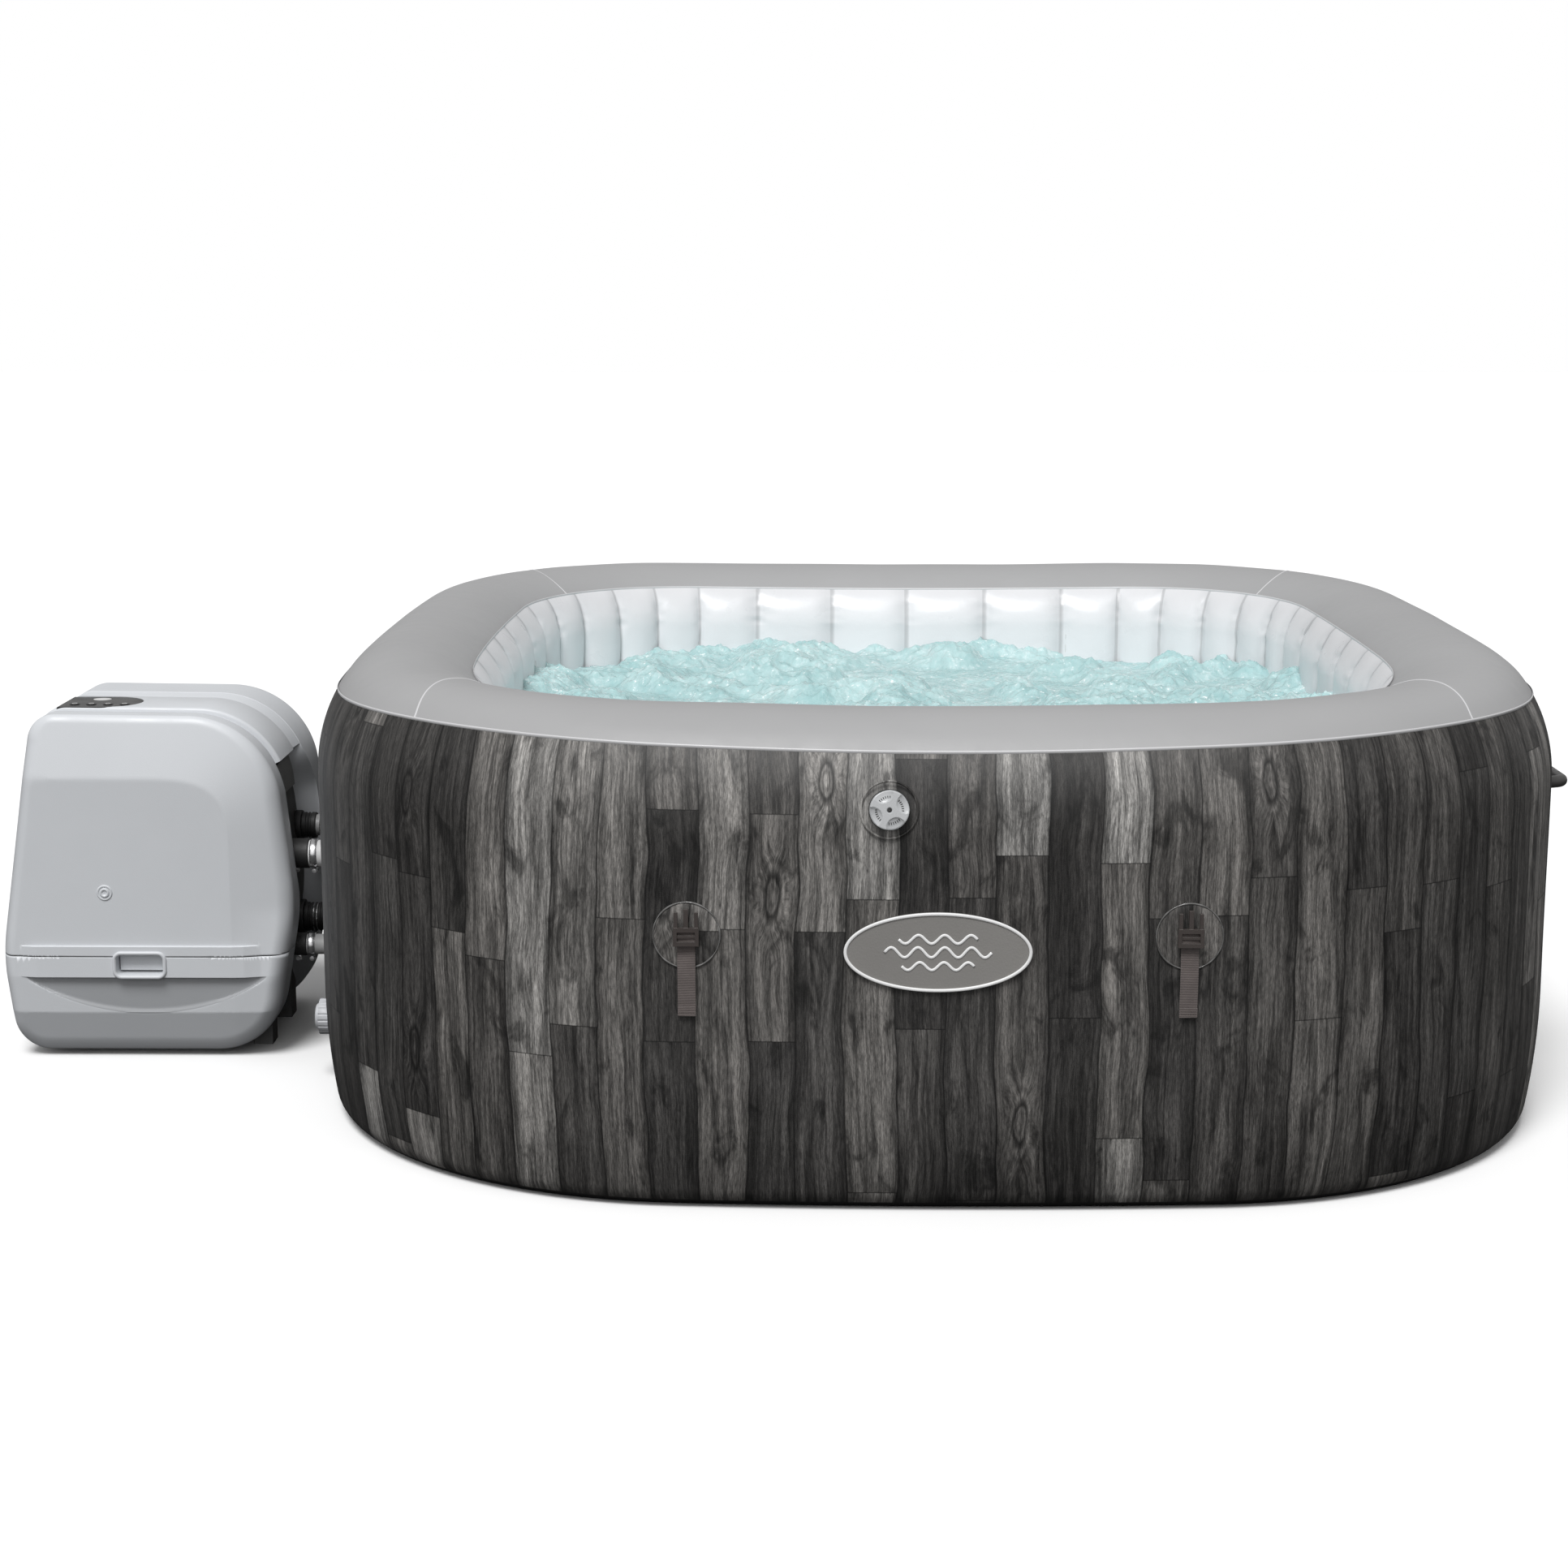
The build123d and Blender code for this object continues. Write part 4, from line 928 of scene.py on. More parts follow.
def casing_loops(edge, sign, far, flange):
    """Rings of points round a half shell: its inner flange, its side, its rounded edge and its face."""
    count = len(OUTLINE)
    edges = np.array([edge(*p) for p in OUTLINE])
    upward = np.clip(OUTWARD[:, 1], 0, 1) * np.clip((OUTLINE[:, 0] + 1.40) / 0.06, 0, 1)
    curl = LIP_DROP * upward if sign < 0 else np.zeros(count)
    tight = 1 - TOP_EDGE * upward if sign < 0 else np.ones(count)
    inset_by = EDGE_INSET * tight
    depth = EDGE_DEPTH * tight

    def ring(inset, y):
        return np.stack([OUTLINE[:, 0] - inset * OUTWARD[:, 0], y + np.zeros(count),
                         OUTLINE[:, 1] - inset * OUTWARD[:, 1]], 1)

    loops = [ring(inset + curl, edges - sign * back) for inset, back in flange]
    turn_at = far - sign * depth
    for share in np.linspace(0, 1, 11):
        loops.append(ring(curl * max(0.0, 1 - 3 * share) ** 2, edges + (turn_at - edges) * share))
    for step in range(1, 15):
        angle = math.pi / 2 * step / 14
        loops.append(ring(inset_by * (1 - math.cos(angle)), turn_at + sign * depth * math.sin(angle)))
    rim = loops[-1]
    core = np.stack([np.clip(rim[:, 0], -1.29, -1.11), rim[:, 1], np.full(count, 0.29)], 1)
    away = rim - core
    core += 0.012 * away / np.linalg.norm(away, axis=1, keepdims=True)
    for share in np.linspace(0, 1, 60)[1:]:
        loops.append(rim + (core - rim) * share)
    return loops


SCOOP_X = -1.197                # the crescent scoop in the lower cover: middle, half width, top and depth
SCOOP_HALF = 0.185
SCOOP_TOP = 0.1355
SCOOP_DEEP = 0.0595
SCOOP_PAINTED_SHADE = 0.58              # painted shade in it, as a share of the casing's tone


def scooped_casing():
    """The casing's plastic, with painted shade in the crescent of the lower cover's scoop, where the
    overhang's shadow falls.
    """
    paint, plain = moulded_paint("pump_cover_casing", CASING_TONE, 0.40, 900.0, 0.00012, 0.02)
    x, y, z = paint.split(paint.place())
    off = paint.math("DIVIDE", paint.minus(x, SCOOP_X), SCOOP_HALF)
    middle = paint.math("MAXIMUM", paint.minus(1.0, paint.times(off, off)), 0.0)
    low = paint.math("MULTIPLY_ADD", paint.math("POWER", middle, 0.85), -SCOOP_DEEP, SCOOP_TOP)
    above = paint.minus(z, low)
    under_top = paint.step(z, SCOOP_TOP - 0.0004, SCOOP_TOP, 1.0, 0.0)
    inside = paint.times(paint.step(above, -0.0006, 0.0006), under_top)
    inside = paint.times(inside, paint.math("GREATER_THAN", middle, 0.004))
    inside = paint.times(inside, paint.math("LESS_THAN", y, PUMP_FRONT + 0.06))
    # painted shadow: the crescent is darkened where the overhang above it shades the scoop
    paint.colour(paint.mix(inside, plain, tuple(SCOOP_PAINTED_SHADE * c for c in CASING_TONE)))
    return paint.material


def face_relief(x, z):
    """How far the front face stands back from its flat panel, at each x and z."""
    high = np.maximum(0, (z - 0.330) / 0.115)
    right = np.maximum(0, (x + 1.205) / 0.142)
    beyond = np.maximum(0, (high ** 3.5 + right ** 3.5) ** (1 / 3.5) - 1)
    back = 0.030 * beyond * np.clip((z - 0.09) / 0.15, 0.25, 1)
    taper = np.clip((0.185 - np.abs(x + 1.205)) / 0.025, 0, 1)
    back -= 0.0045 * taper * (z < 0.1845) * (z > 0.1355)
    back += 0.09 * np.maximum(0, 0.1355 - z) + 0.30 * np.maximum(0, 0.078 - z)
    middle = np.clip(1 - ((x - SCOOP_X) / SCOOP_HALF) ** 2, 0, 1)
    low = SCOOP_TOP - SCOOP_DEEP * middle ** 0.85
    in_scoop = (z < SCOOP_TOP + 0.0001) & (middle > 0)
    share = np.where(in_scoop, (z - low) / np.maximum(SCOOP_TOP - low, 0.002), 0)
    ledge = np.clip(share / 0.14, 0, 1)
    eased = ledge * ledge * (3 - 2 * ledge) * np.clip(middle * 6, 0, 1)
    back += 0.0040 * (0.6 + 0.4 * np.clip(share, 0, 1)) * eased
    return back


def front_weight(y):
    """1 on the front face, falling to 0 where its rounded edge begins."""
    return np.clip((PUMP_FRONT + EDGE_DEPTH - y) / EDGE_DEPTH, 0, 1)


def cut_planes(mesh, planes):
    for place, normal in planes:
        geometry = mesh.verts[:] + mesh.edges[:] + mesh.faces[:]
        bmesh.ops.bisect_plane(mesh, geom=geometry, plane_co=place, plane_no=normal, dist=1e-6)


def shell_piece(name, loops, keep, paint, body, relief, planes, hole=None):
    """A casing part: the faces of a half shell that keep() picks, with the front face's relief pressed in."""
    mesh = bmesh.new()
    count = len(OUTLINE)
    verts = [[mesh.verts.new(p) for p in loop] for loop in loops]
    for before, after in zip(verts, verts[1:]):
        for k in range(count):
            mesh.faces.new((before[k], before[(k + 1) % count], after[(k + 1) % count], after[k]))
    mesh.faces.new(verts[-1])
    bmesh.ops.remove_doubles(mesh, verts=mesh.verts[:], dist=2e-5)
    cut_planes(mesh, planes)
    gone = [f for f in mesh.faces if not keep(f.calc_center_median())]
    if hole:
        gone = list(set(gone) | {f for f in mesh.faces if hole(f.calc_center_median())})
    bmesh.ops.delete(mesh, geom=gone, context="FACES")
    if relief:
        low = [e for e in mesh.edges if all(v.co.z < 0.137 and v.co.y < PUMP_FRONT + 0.01 for v in e.verts)
               and e.calc_length() > 0.003]
        bmesh.ops.subdivide_edges(mesh, edges=low, cuts=1, use_grid_fill=True)
        moved = [v for v in mesh.verts if v.co.y < PUMP_FRONT + EDGE_DEPTH]
        x, y, z = (np.array([v.co[axis] for v in moved]) for axis in range(3))
        for vert, deeper in zip(moved, face_relief(x, z) * front_weight(y)):
            vert.co.y += deeper
    bmesh.ops.recalc_face_normals(mesh, faces=mesh.faces[:])
    data = bpy.data.meshes.new(name)
    mesh.to_mesh(data)
    mesh.free()
    data.materials.append(PAINTS[paint])
    data.shade_smooth()
    data.set_sharp_from_angle(angle=math.radians(24))
    piece = bpy.data.objects.new(name, data)
    bpy.context.scene.collection.objects.link(piece)
    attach(piece, body)
    return piece


def build_pump_casing():
    """Front shell, lower cover and back shell of the pump unit."""
    flange = [(0.027, 0.0020), (0.004, 0.0018), (0.0026, 0.0014), (0.0010, 0.0008), (0.0002, 0.0002)]
    front = casing_loops(lambda x, z: front_edge(x), -1, PUMP_FRONT, flange)
    gx, gz = GRIP
    planes = [((0, 0, z), (0, 0, 1)) for z in (0.078, 0.1353, 0.1358, SPLIT_Z - 0.0006, SPLIT_Z + 0.0006,
                                               0.1838, 0.1852, gz - 0.016, gz + 0.016)]
    planes += [((x, 0, 0), (1, 0, 0)) for x in (gx - 0.036, gx + 0.036)]
    planes += [((0, COVER_BACK - 0.0004, 0), (0, 1, 0)), ((0, COVER_BACK + 0.0004, 0), (0, 1, 0))]

    def at_grip(c):
        return abs(c.x - gx) < 0.036 and abs(c.z - gz) < 0.016 and c.y < -0.15

    upper = shell_piece("front_shell", front, lambda c: c.z > SPLIT_Z + 0.0006 or c.y > COVER_BACK + 0.0004,
                        "casing", "tub", True, planes, at_grip)
    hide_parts("pump_front_shell")
    lower = shell_piece("lower_cover", front, lambda c: c.z < SPLIT_Z - 0.0006 and c.y < COVER_BACK - 0.0004,
                        "cover", "lower_cover", True, planes, at_grip)
    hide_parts("pump_lower_cover")
    for shell in (upper, lower):
        thick = shell.modifiers.new("thickness", "SOLIDIFY")
        thick.thickness = 0.0022
        thick.offset = -1

    flare = [(0.030, 0.052), (0.020, 0.036), (0.010, 0.018), (0.004, 0.006), (0.0014, 0.0015),
             (0.0003, 0.0003)]
    back = casing_loops(back_edge, 1, PUMP_BACK, flare)
    rear = shell_piece("back_shell", back, lambda c: True, "casing", "tub", False, [], None)
    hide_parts("pump_back_shell")


def rounded_frame(name, middle, size, radius, section, paint, body):
    """A frame round a rounded rectangle in the XZ plane: section is (outward, towards the front) points."""
    half_x, half_z = size[0] / 2 - radius, size[1] / 2 - radius
    path = []
    for cx, cz, start in ((half_x, half_z, 0), (-half_x, half_z, 90), (-half_x, -half_z, 180),
                          (half_x, -half_z, 270)):
        for k in range(9):
            angle = math.radians(start + 90 * k / 8)
            path.append((cx + radius * math.cos(angle), cz + radius * math.sin(angle),
                         math.cos(angle), math.sin(angle)))
    points = []
    for out, front in section:
        for x, z, nx, nz in path:
            points.append((middle[0] + x + out * nx, middle[1] - front, middle[2] + z + out * nz))
    faces, _ = ring_faces(len(section), len(path), True)
    piece = add_piece(name, points, faces, paint, body)
    piece.data.set_sharp_from_angle(angle=math.radians(50))
    return piece


def build_catch():
    """The raised frame and hollow cup round the lower cover's catch, and the screw plug above."""
    gx, gz = GRIP
    lip = PUMP_FRONT - 0.0042
    section = [(-0.0022, -0.024), (0.0, -0.012), (0.0006, 0.0005), (0.0016, 0.0026), (0.0036, 0.0034),
               (0.0056, 0.0030), (0.0068, 0.0014), (0.0072, -0.001), (0.0072, -0.006)]
    frame_piece = rounded_frame("catch_frame", (gx, lip, gz), (0.070, 0.030), 0.007, section, "casing",
                                "lower_cover")
    frame_piece.data.shade_smooth()
    corners = [(gx - 0.036, lip + 0.0235, gz - 0.016), (gx + 0.036, lip + 0.0235, gz - 0.016),
               (gx + 0.036, lip + 0.0235, gz + 0.016), (gx - 0.036, lip + 0.0235, gz + 0.016)]
    back = corners + [(x, y + 0.0015, z) for x, y, z in corners]
    add_piece("catch_back", back, [(0, 1, 2, 3), (7, 6, 5, 4), (0, 4, 5, 1), (1, 5, 6, 2), (2, 6, 7, 3),
                                   (3, 7, 4, 0)],
              "casing", "lower_cover", smooth=False)
    profile = [(0.0, 0.0010), (0.0026, 0.0011), (0.0038, 0.0022), (0.0052, 0.0030), (0.0066, 0.0026),
               (0.0074, 0.0008),
               (0.0084, 0.0004), (0.0096, 0.0016), (0.0110, 0.0017), (0.0120, 0.0008), (0.0125, -0.0006),
               (0.0125, -0.003)]
    lathe("screw_plug", (-1.255, PUMP_FRONT + 0.0002, 0.268), (0, -1, 0), profile, "casing")


def soften(name, paint, width=0.0012, segments=2, angle=32):
    """Gives a CAD node its material and small rounded edges."""
    node = nodes[name]
    node.data.materials.clear()
    node.data.materials.append(PAINTS[paint])
    weld = node.modifiers.new("weld", "WELD")
    weld.merge_threshold = 0.00002
    flat = node.modifiers.new("flat", "DECIMATE")
    flat.decimate_type = "DISSOLVE"
    flat.angle_limit = math.radians(1.0)
    round_off = node.modifiers.new("round", "BEVEL")
    round_off.width = width
    round_off.segments = segments
    round_off.limit_method = "ANGLE"
    round_off.angle_limit = math.radians(angle)
    round_off.harden_normals = True
    return node


PAINTS["cover"] = scooped_casing()
build_pump_casing()
build_catch()

SOFTENED = {
    "pump_lid": ("casing", 0.0030, 3), "control_panel": ("panel", 0.0008, 2),
    "pump_latch": ("casing", 0.0009, 2),
    "pump_feet": ("foot", 0.0030, 2), "pump_spine": ("spine", 0.0020, 2), "cord_gland": ("rubber", 0.0010, 2),
    "drain_cap": ("fitting", 0.0010, 2), "drain_body": ("fitting", 0.0008, 2),
    "carry_handles": ("patch", 0.0006, 2),
    "filter_cover": ("fitting", 0.0012, 2), "suction_screens": ("fitting", 0.0008, 2),
    "wall_flanges": ("fitting", 0.0012, 2), "jet_housings": ("fitting", 0.0010, 2),
    "hose_ports": ("rubber", 0.0012, 2), "hose_clamps": ("steel", 0.0004, 2),
    "hose_upper_front": ("hose_white", 0.0006, 1), "hose_upper_rear": ("hose_grey", 0.0006, 1),
    "hose_lower_front": ("hose_grey", 0.0006, 1), "hose_lower_rear": ("hose_dark", 0.0006, 1),
    "badge_plate": ("badge", 0.0008, 2),
}
for name, (paint, width, segments) in SOFTENED.items():
    soften(name, paint, width, segments)
for name in nodes:
    if name.startswith("buckle_"):
        soften(name, "buckle", 0.0009, 2)
    if name.startswith("button_"):
        soften(name, "key", 0.0008, 3)
PLAIN = {
    "air_valve_stem": "valve", "air_valve_spring": "spring", "filter_cartridge": "fleece",
    "pump_chassis": "spine",
    "filter_pump_motor": "motor", "jet_pump_motor": "motor", "filter_pump_impeller": "impeller",
    "jet_pump_impeller": "impeller", "heater_tube": "steel", "air_blower": "impeller",
    "blower_fan": "impeller",
    "control_board": "board", "internal_pipes": "pipe", "wall_webs": "web", "jet_supply_ring": "fitting",
    "air_jet_channel": "liner", "floor_liner": "liner", "base_sheet": "base",
}
for name, paint in PLAIN.items():
    nodes[name].data.materials.clear()
    nodes[name].data.materials.append(PAINTS[paint])


# ---------------------------------------------------------------- the pump's top and hoses
def sweep_outline(name, start, end, section, paint, body="tub"):
    """A strip along the pump's outline from one share to another: section is (y, inset) points, closed."""
    points = []
    rows = [i for i in range(len(OUTLINE)) if start <= i <= end]
    for i in rows:
        for y, inset in section:
            x, z = OUTLINE[i] - inset * OUTWARD[i]
            points.append((x, y, z))
    faces, _ = ring_faces(len(rows), len(section), True)
    last = (len(rows) - 1) * len(section)
    faces = [f[::-1] for f in faces]
    faces.append(tuple(range(len(section))))
    faces.append(tuple(last + k for k in reversed(range(len(section)))))
    piece = add_piece(name, points, faces, paint, body)
    piece.data.set_sharp_from_angle(angle=math.radians(40))
    return piece


def outline_index(test):
    return [i for i in range(len(OUTLINE)) if test(*OUTLINE[i])]


BRIDGE_TOP = -0.0015
HIGHEST_OUTLINE = 0.540
PANEL_GAP = 0.0008              # between the control panel and its well in the bridge
DISPLAY_AT = (-1.292, -0.016)   # the panel's display: middle and half size
DISPLAY_HALF = (0.014, 0.011)


def well_shape(name, left, right, middle, half, low, high, paint):
    """An upright D-shaped block, straight at the left and round at the right."""
    straight = right - half
    outline = [(left, middle - half), (straight, middle - half)]
    for k in range(1, 24):
        turn = -math.pi / 2 + math.pi * k / 24
        outline.append((straight + half * math.cos(turn), middle + half * math.sin(turn)))
    outline += [(straight, middle + half), (left, middle + half)]
    count = len(outline)
    points = [(x, y, z) for z in (low, high) for x, y in outline]
    faces = [tuple(reversed(range(count))), tuple(range(count, 2 * count))]
    faces += [(k, (k + 1) % count, count + (k + 1) % count, count + k) for k in range(count)]
    return add_piece(name, points, faces, paint, smooth=False)


def carve(piece, cutter):
    """Cuts one closed piece out of another, and removes the cutter."""
    cut = piece.modifiers.new("cut", "BOOLEAN")
    cut.object = cutter
    cut.operation = "DIFFERENCE"
    bpy.context.view_layer.update()
    seen = piece.evaluated_get(bpy.context.evaluated_depsgraph_get())
    piece.data = bpy.data.meshes.new_from_object(seen)
    piece.modifiers.clear()
    bpy.data.objects.remove(cutter)


def build_pump_top():
    """The raised bridge along the channel, with the control panel's well in its left end."""
    top = outline_index(lambda x, z: z > 0.455 and x > -1.362)
    edge = [(-0.100, 0.012), (-0.100, 0.0030), (-0.0992, 0.0008), (-0.0975, -0.0009), (-0.0952, BRIDGE_TOP),
            (0.0092, BRIDGE_TOP), (0.0115, -0.0009), (0.0132, 0.0008), (0.0140, 0.0030), (0.0140, 0.012)]
    bridge = sweep_outline("channel_bridge", top[0], top[-1], edge, "casing")
    low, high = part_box("control_panel")
    middle = (high.y + low.y) / 2
    carve(bridge, well_shape("well", low.x - PANEL_GAP, high.x + PANEL_GAP, middle,
                             (high.y - low.y) / 2 + PANEL_GAP, 0.50, 0.56, "casing"))
    bridge.data.set_sharp_from_angle(angle=math.radians(35))

    behind = [(0.0405, 0.012), (0.0405, 0.0070), (0.0715, 0.0006), (0.0715, 0.012)]
    sweep_outline("tray_slope", top[0], top[-1], behind, "casing")
    shoulder = outline_index(lambda x, z: 0.395 < z < 0.449 and x > -1.2)
    insert = [(-0.104, 0.030), (-0.104, 0.020), (-0.100, 0.0165), (0.034, 0.0165), (0.038, 0.020),
              (0.038, 0.030)]
    sweep_outline("shoulder_insert", shoulder[0], shoulder[-1], insert, "insert")

    face_z = HIGHEST_OUTLINE - BRIDGE_TOP - 0.0018
    panel = well_shape("panel_face", low.x, high.x, middle, (high.y - low.y) / 2, low.z, face_z, "panel")
    buttons = {name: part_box(f"button_{name}") for name in ("power", "heat", "jets", "bubbles")}
    holes = []
    for name, (near, far) in buttons.items():
        centre = ((near.x + far.x) / 2, (near.y + far.y) / 2, 0.50)
        hole = [(0.0, 0.0), (0.0083, 0.0), (0.0083, 0.06), (0.0, 0.06)]
        holes.append(lathe(f"hole_{name}", centre, (0, 0, 1), hole, "panel", segments=40))
    carve(panel, merge_pieces("panel_holes", holes))
    panel.data.set_sharp_from_angle(angle=math.radians(35))
    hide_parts("control_panel")
    for name, (near, far) in buttons.items():
        centre = ((near.x + far.x) / 2, (near.y + far.y) / 2, face_z)
        dome = [(0.0, 0.0016), (0.0040, 0.0015), (0.0066, 0.0012), (0.0076, 0.0006), (0.0079, -0.0004),
                (0.0079, -0.006),
                (0.0, -0.006)]
        key = lathe(f"key_{name}", centre, (0, 0, 1), dome, "key", f"button_{name}", 40)
        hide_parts(f"button_{name}")
        ring = [(0.0030, 0.0010), (0.0031, 0.0017), (0.0036, 0.0018), (0.0041, 0.0017), (0.0042, 0.0008)]
        lathe(f"icon_{name}", centre, (0, 0, 1), ring, "print", f"button_{name}", 28)
    display = [(0.001, 0.0006), (0.6, 0.0006), (0.9, 0.0005), (1.0, 0.0003), (1.02, -0.0008)]
    points = []
    for reach, lift in display:
        for k in range(40):
            turn = TAU * k / 40
            points.append((DISPLAY_AT[0] + DISPLAY_HALF[0] * reach * math.cos(turn),
                           DISPLAY_AT[1] + DISPLAY_HALF[1] * reach * math.sin(turn), face_z + lift))
    faces, _ = ring_faces(len(display), 40, True)
    add_piece("panel_display", points, faces, "print")


HOSE_PLACES = {
    "upper_front": (-0.090, 0.308, 0.021), "upper_rear": (0.066, 0.322, 0.017),
    "lower_front": (-0.090, 0.162, 0.016), "lower_rear": (0.066, 0.170, 0.021),
}


SLEEVES = {                     # start, end, thickness and number of moulded rings of each sleeve
    "upper_front": (-0.9965, -0.958, 0.0024, 0), "upper_rear": (-0.9965, -0.974, 0.0040, 2),
    "lower_front": (-0.9965, -0.966, 0.0020, 0), "lower_rear": (-0.9965, -0.938, 0.0026, 7),
}
CLAMP_PLACES = {"upper_front": -0.956, "upper_rear": -0.968, "lower_front": -0.964}


def build_clamp(name, start, y, z, radius):
    """A worm-drive clamp: band, housing and screw under the hose."""
    band = [(radius, 0.0), (radius + 0.0011, 0.0003), (radius + 0.0014, 0.0012), (radius + 0.0010, 0.0020),
            (radius + 0.0010, 0.0095), (radius + 0.0014, 0.0103), (radius + 0.0011, 0.0112), (radius, 0.0115)]
    pieces = [lathe(f"{name}_band", (start, y, z), (1, 0, 0), band, "steel", segments=56)]
    low = z - radius - 0.0046
    screw = [(0.0, 0.0), (0.0034, 0.0002), (0.0040, 0.0010), (0.0040, 0.0050), (0.0034, 0.0056),
             (0.0030, 0.0060),
             (0.0030, 0.0200), (0.0024, 0.0206), (0.0, 0.0206)]
    pieces.append(lathe(f"{name}_screw", (start + 0.0057, y - 0.012, low), (0, 1, 0), screw, "steel",
                        segments=28))
    housing = []
    for turn, reach in ((-60, 0.0056), (-40, 0.0066), (40, 0.0066), (60, 0.0056)):
        housing.append((start + 0.0057 + reach * math.sin(math.radians(turn)),
                        low + reach * 0.9 * math.cos(turn / 60)))
    points = [(x, y + shift, high - 0.003) for shift in (-0.0065, 0.0075) for x, high in housing]
    points += [(x, y + shift, low - 0.0022) for shift in (-0.0065, 0.0075) for x,
               _ in (housing[0], housing[-1])]
    faces = [(0, 1, 5, 4), (1, 2, 6, 5), (2, 3, 7, 6), (0, 4, 10, 8), (3, 9, 11, 7), (8, 10, 11, 9),
             (0, 8, 9, 3, 2, 1),
             (4, 5, 6, 7, 11, 10)]
    pieces.append(add_piece(f"{name}_housing", points, faces, "steel", smooth=False))
    return merge_pieces(name, pieces)


def build_hose_trim():
    """Rubber sleeves over the hose ends at the pump, and their clamps."""
    for name, (start, end, swell, ribs) in SLEEVES.items():
        y, z, radius = HOSE_PLACES[name]
        outer = radius + swell
        profile = [(radius + 0.0002, 0.0), (outer - 0.0006, 0.0), (outer, 0.0006)]
        span = end - start
        for k in range(ribs):
            at = 0.006 + (span - 0.012) * k / ribs
            profile += [(outer, at), (outer - 0.0016, at + 0.0012), (outer - 0.0016, at + 0.003),
                        (outer, at + 0.0042)]
        profile += [(outer, span - 0.0014), (outer - 0.0010, span - 0.0002), (radius + 0.0002, span)]
        lathe(f"sleeve_{name}", (start, y, z), (1, 0, 0), profile, "rubber", segments=48)
    for name, start in CLAMP_PLACES.items():
        y, z, radius = HOSE_PLACES[name]
        build_clamp(f"worm_clamp_{name}", start, y, z, radius + 0.0003)


# ---------------------------------------------------------------- badge, straps and valve
def wall_spot(u, height, lift):
    """A point off the upright part of the printed wall."""
    return tub_point(u, -lift, height)


FRONT_X = -0.012
FRONT_U = QUARTER + FRONT_X
STRAP_Z = 0.372
STRAP_OFFSET = 0.320
STRAP_HINGE_Z = 0.361           # the height of the buckles' hinge
WALL_RUN = lengths(WALL_SECTION)[WALL_SECTION.index((0.0, BELLY_Z + (SHOULDER_Z - BELLY_Z) * 6 / 12))] - 0.345


def tube_along(name, path, sides, paint, closed, body="tub"):
    """A bead along a path. sides(k) gives the ring of points round place k of the path."""
    points = [p for k in range(len(path)) for p in sides(k)]
    around = len(sides(0))
    rows = len(path)
    faces = []
    for k in range(rows if closed else rows - 1):
        for j in range(around):
            after = (k + 1) % rows
            nj = (j + 1) % around
            faces.append((k * around + j, after * around + j, after * around + nj, k * around + nj))
    if not closed:
        faces.append(tuple(range(around)))
        faces.append(tuple((rows - 1) * around + j for j in reversed(range(around))))
    return add_piece(name, points, faces, paint, body)


def flat_bead(name, path, wide, tall, front, paint, closed):
    """A rounded raised line on a plane that faces the front: path is (x, z) points."""
    path = [np.array(p, float) for p in path]
    half = [(-1.0, -0.2), (-1.0, 0.45), (-0.72, 0.86), (-0.25, 1.0), (0.25, 1.0), (0.72, 0.86), (1.0, 0.45),
            (1.0, -0.2)]

    def sides(k):
        before = path[k - 1] if closed or k else path[k]
        after = path[(k + 1) % len(path)] if closed or k + 1 < len(path) else path[k]
        run = (after - before) / np.linalg.norm(after - before)
        across = np.array([-run[1], run[0]])
        ring = []
        for out, up in half:
            x, z = path[k] + across * out * wide / 2
            ring.append((x, front - tall * up, z))
        return ring

    return tube_along(name, path, sides, paint, closed)


def build_badge():
    """A white border and three plain waves on the oval badge."""
    low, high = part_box("badge_plate")
    cx, cz = (low.x + high.x) / 2, (low.z + high.z) / 2
    half_x, half_z = (high.x - low.x) / 2 - 0.0022, (high.z - low.z) / 2 - 0.0022
    border = [(cx + half_x * math.cos(TAU * k / 160),
               cz + half_z * math.sin(TAU * k / 160)) for k in range(160)]
    flat_bead("badge_border", border, 0.0042, 0.0016, low.y, "badge_edge", True)
    waves = ((0.017, 0.050, 0.0055), (0.0, 0.068, 0.0065), (-0.018, 0.046, 0.0050))
    for number, (rise, half, swing) in enumerate(waves):
        waves = round(half / 0.0175)
        path = []
        for k in range(81):
            across = -half + 2 * half * k / 80
            path.append((cx + across, cz + rise + swing * math.sin(math.pi * waves * across / half)))
        flat_bead(f"badge_wave_{number + 1}", path, 0.0036, 0.0012, low.y, "badge_edge", False)


def strap_sides():
    """(body name, u at the strap) for each strap."""
    found = {"front_left": FRONT_U - STRAP_OFFSET, "front_right": FRONT_U + STRAP_OFFSET}
    for side, quarter in (("right", 2), ("back", 3)):
        found[f"{side}_left"] = quarter * QUARTER - STRAP_OFFSET
        found[f"{side}_right"] = quarter * QUARTER + STRAP_OFFSET
    return found


def disc_on_wall(name, u0, z0, reach, lift, shift):
    """A welded disc that carries its own piece of the print."""
    rings, around = 10, 72
    points, places = [], []
    for ring in range(rings + 1):
        r = reach * ring / rings
        height = lift * (1.0 if ring < rings else 0.15) + 0.0006 * math.cos(ring / rings * math.pi / 2)
        for k in range(around):
            turn = TAU * k / around
            du, dz = r * math.cos(turn), r * math.sin(turn)
            dent = 0.0005 * wobble(du, dz, u0, 45.0, 2.0) * (1 - ring / rings)
            points.append(wall_spot(u0 + du, z0 + dz, height + dent))
            places.append((u0 + du + shift, z0 + dz + WALL_RUN))
    faces, corners = ring_faces(rings + 1, around, True)
    uv = [places[r * around + c % around] for quad in corners for r, c in quad]
    return add_piece(name, points, faces, "print_wood", uv=uv)


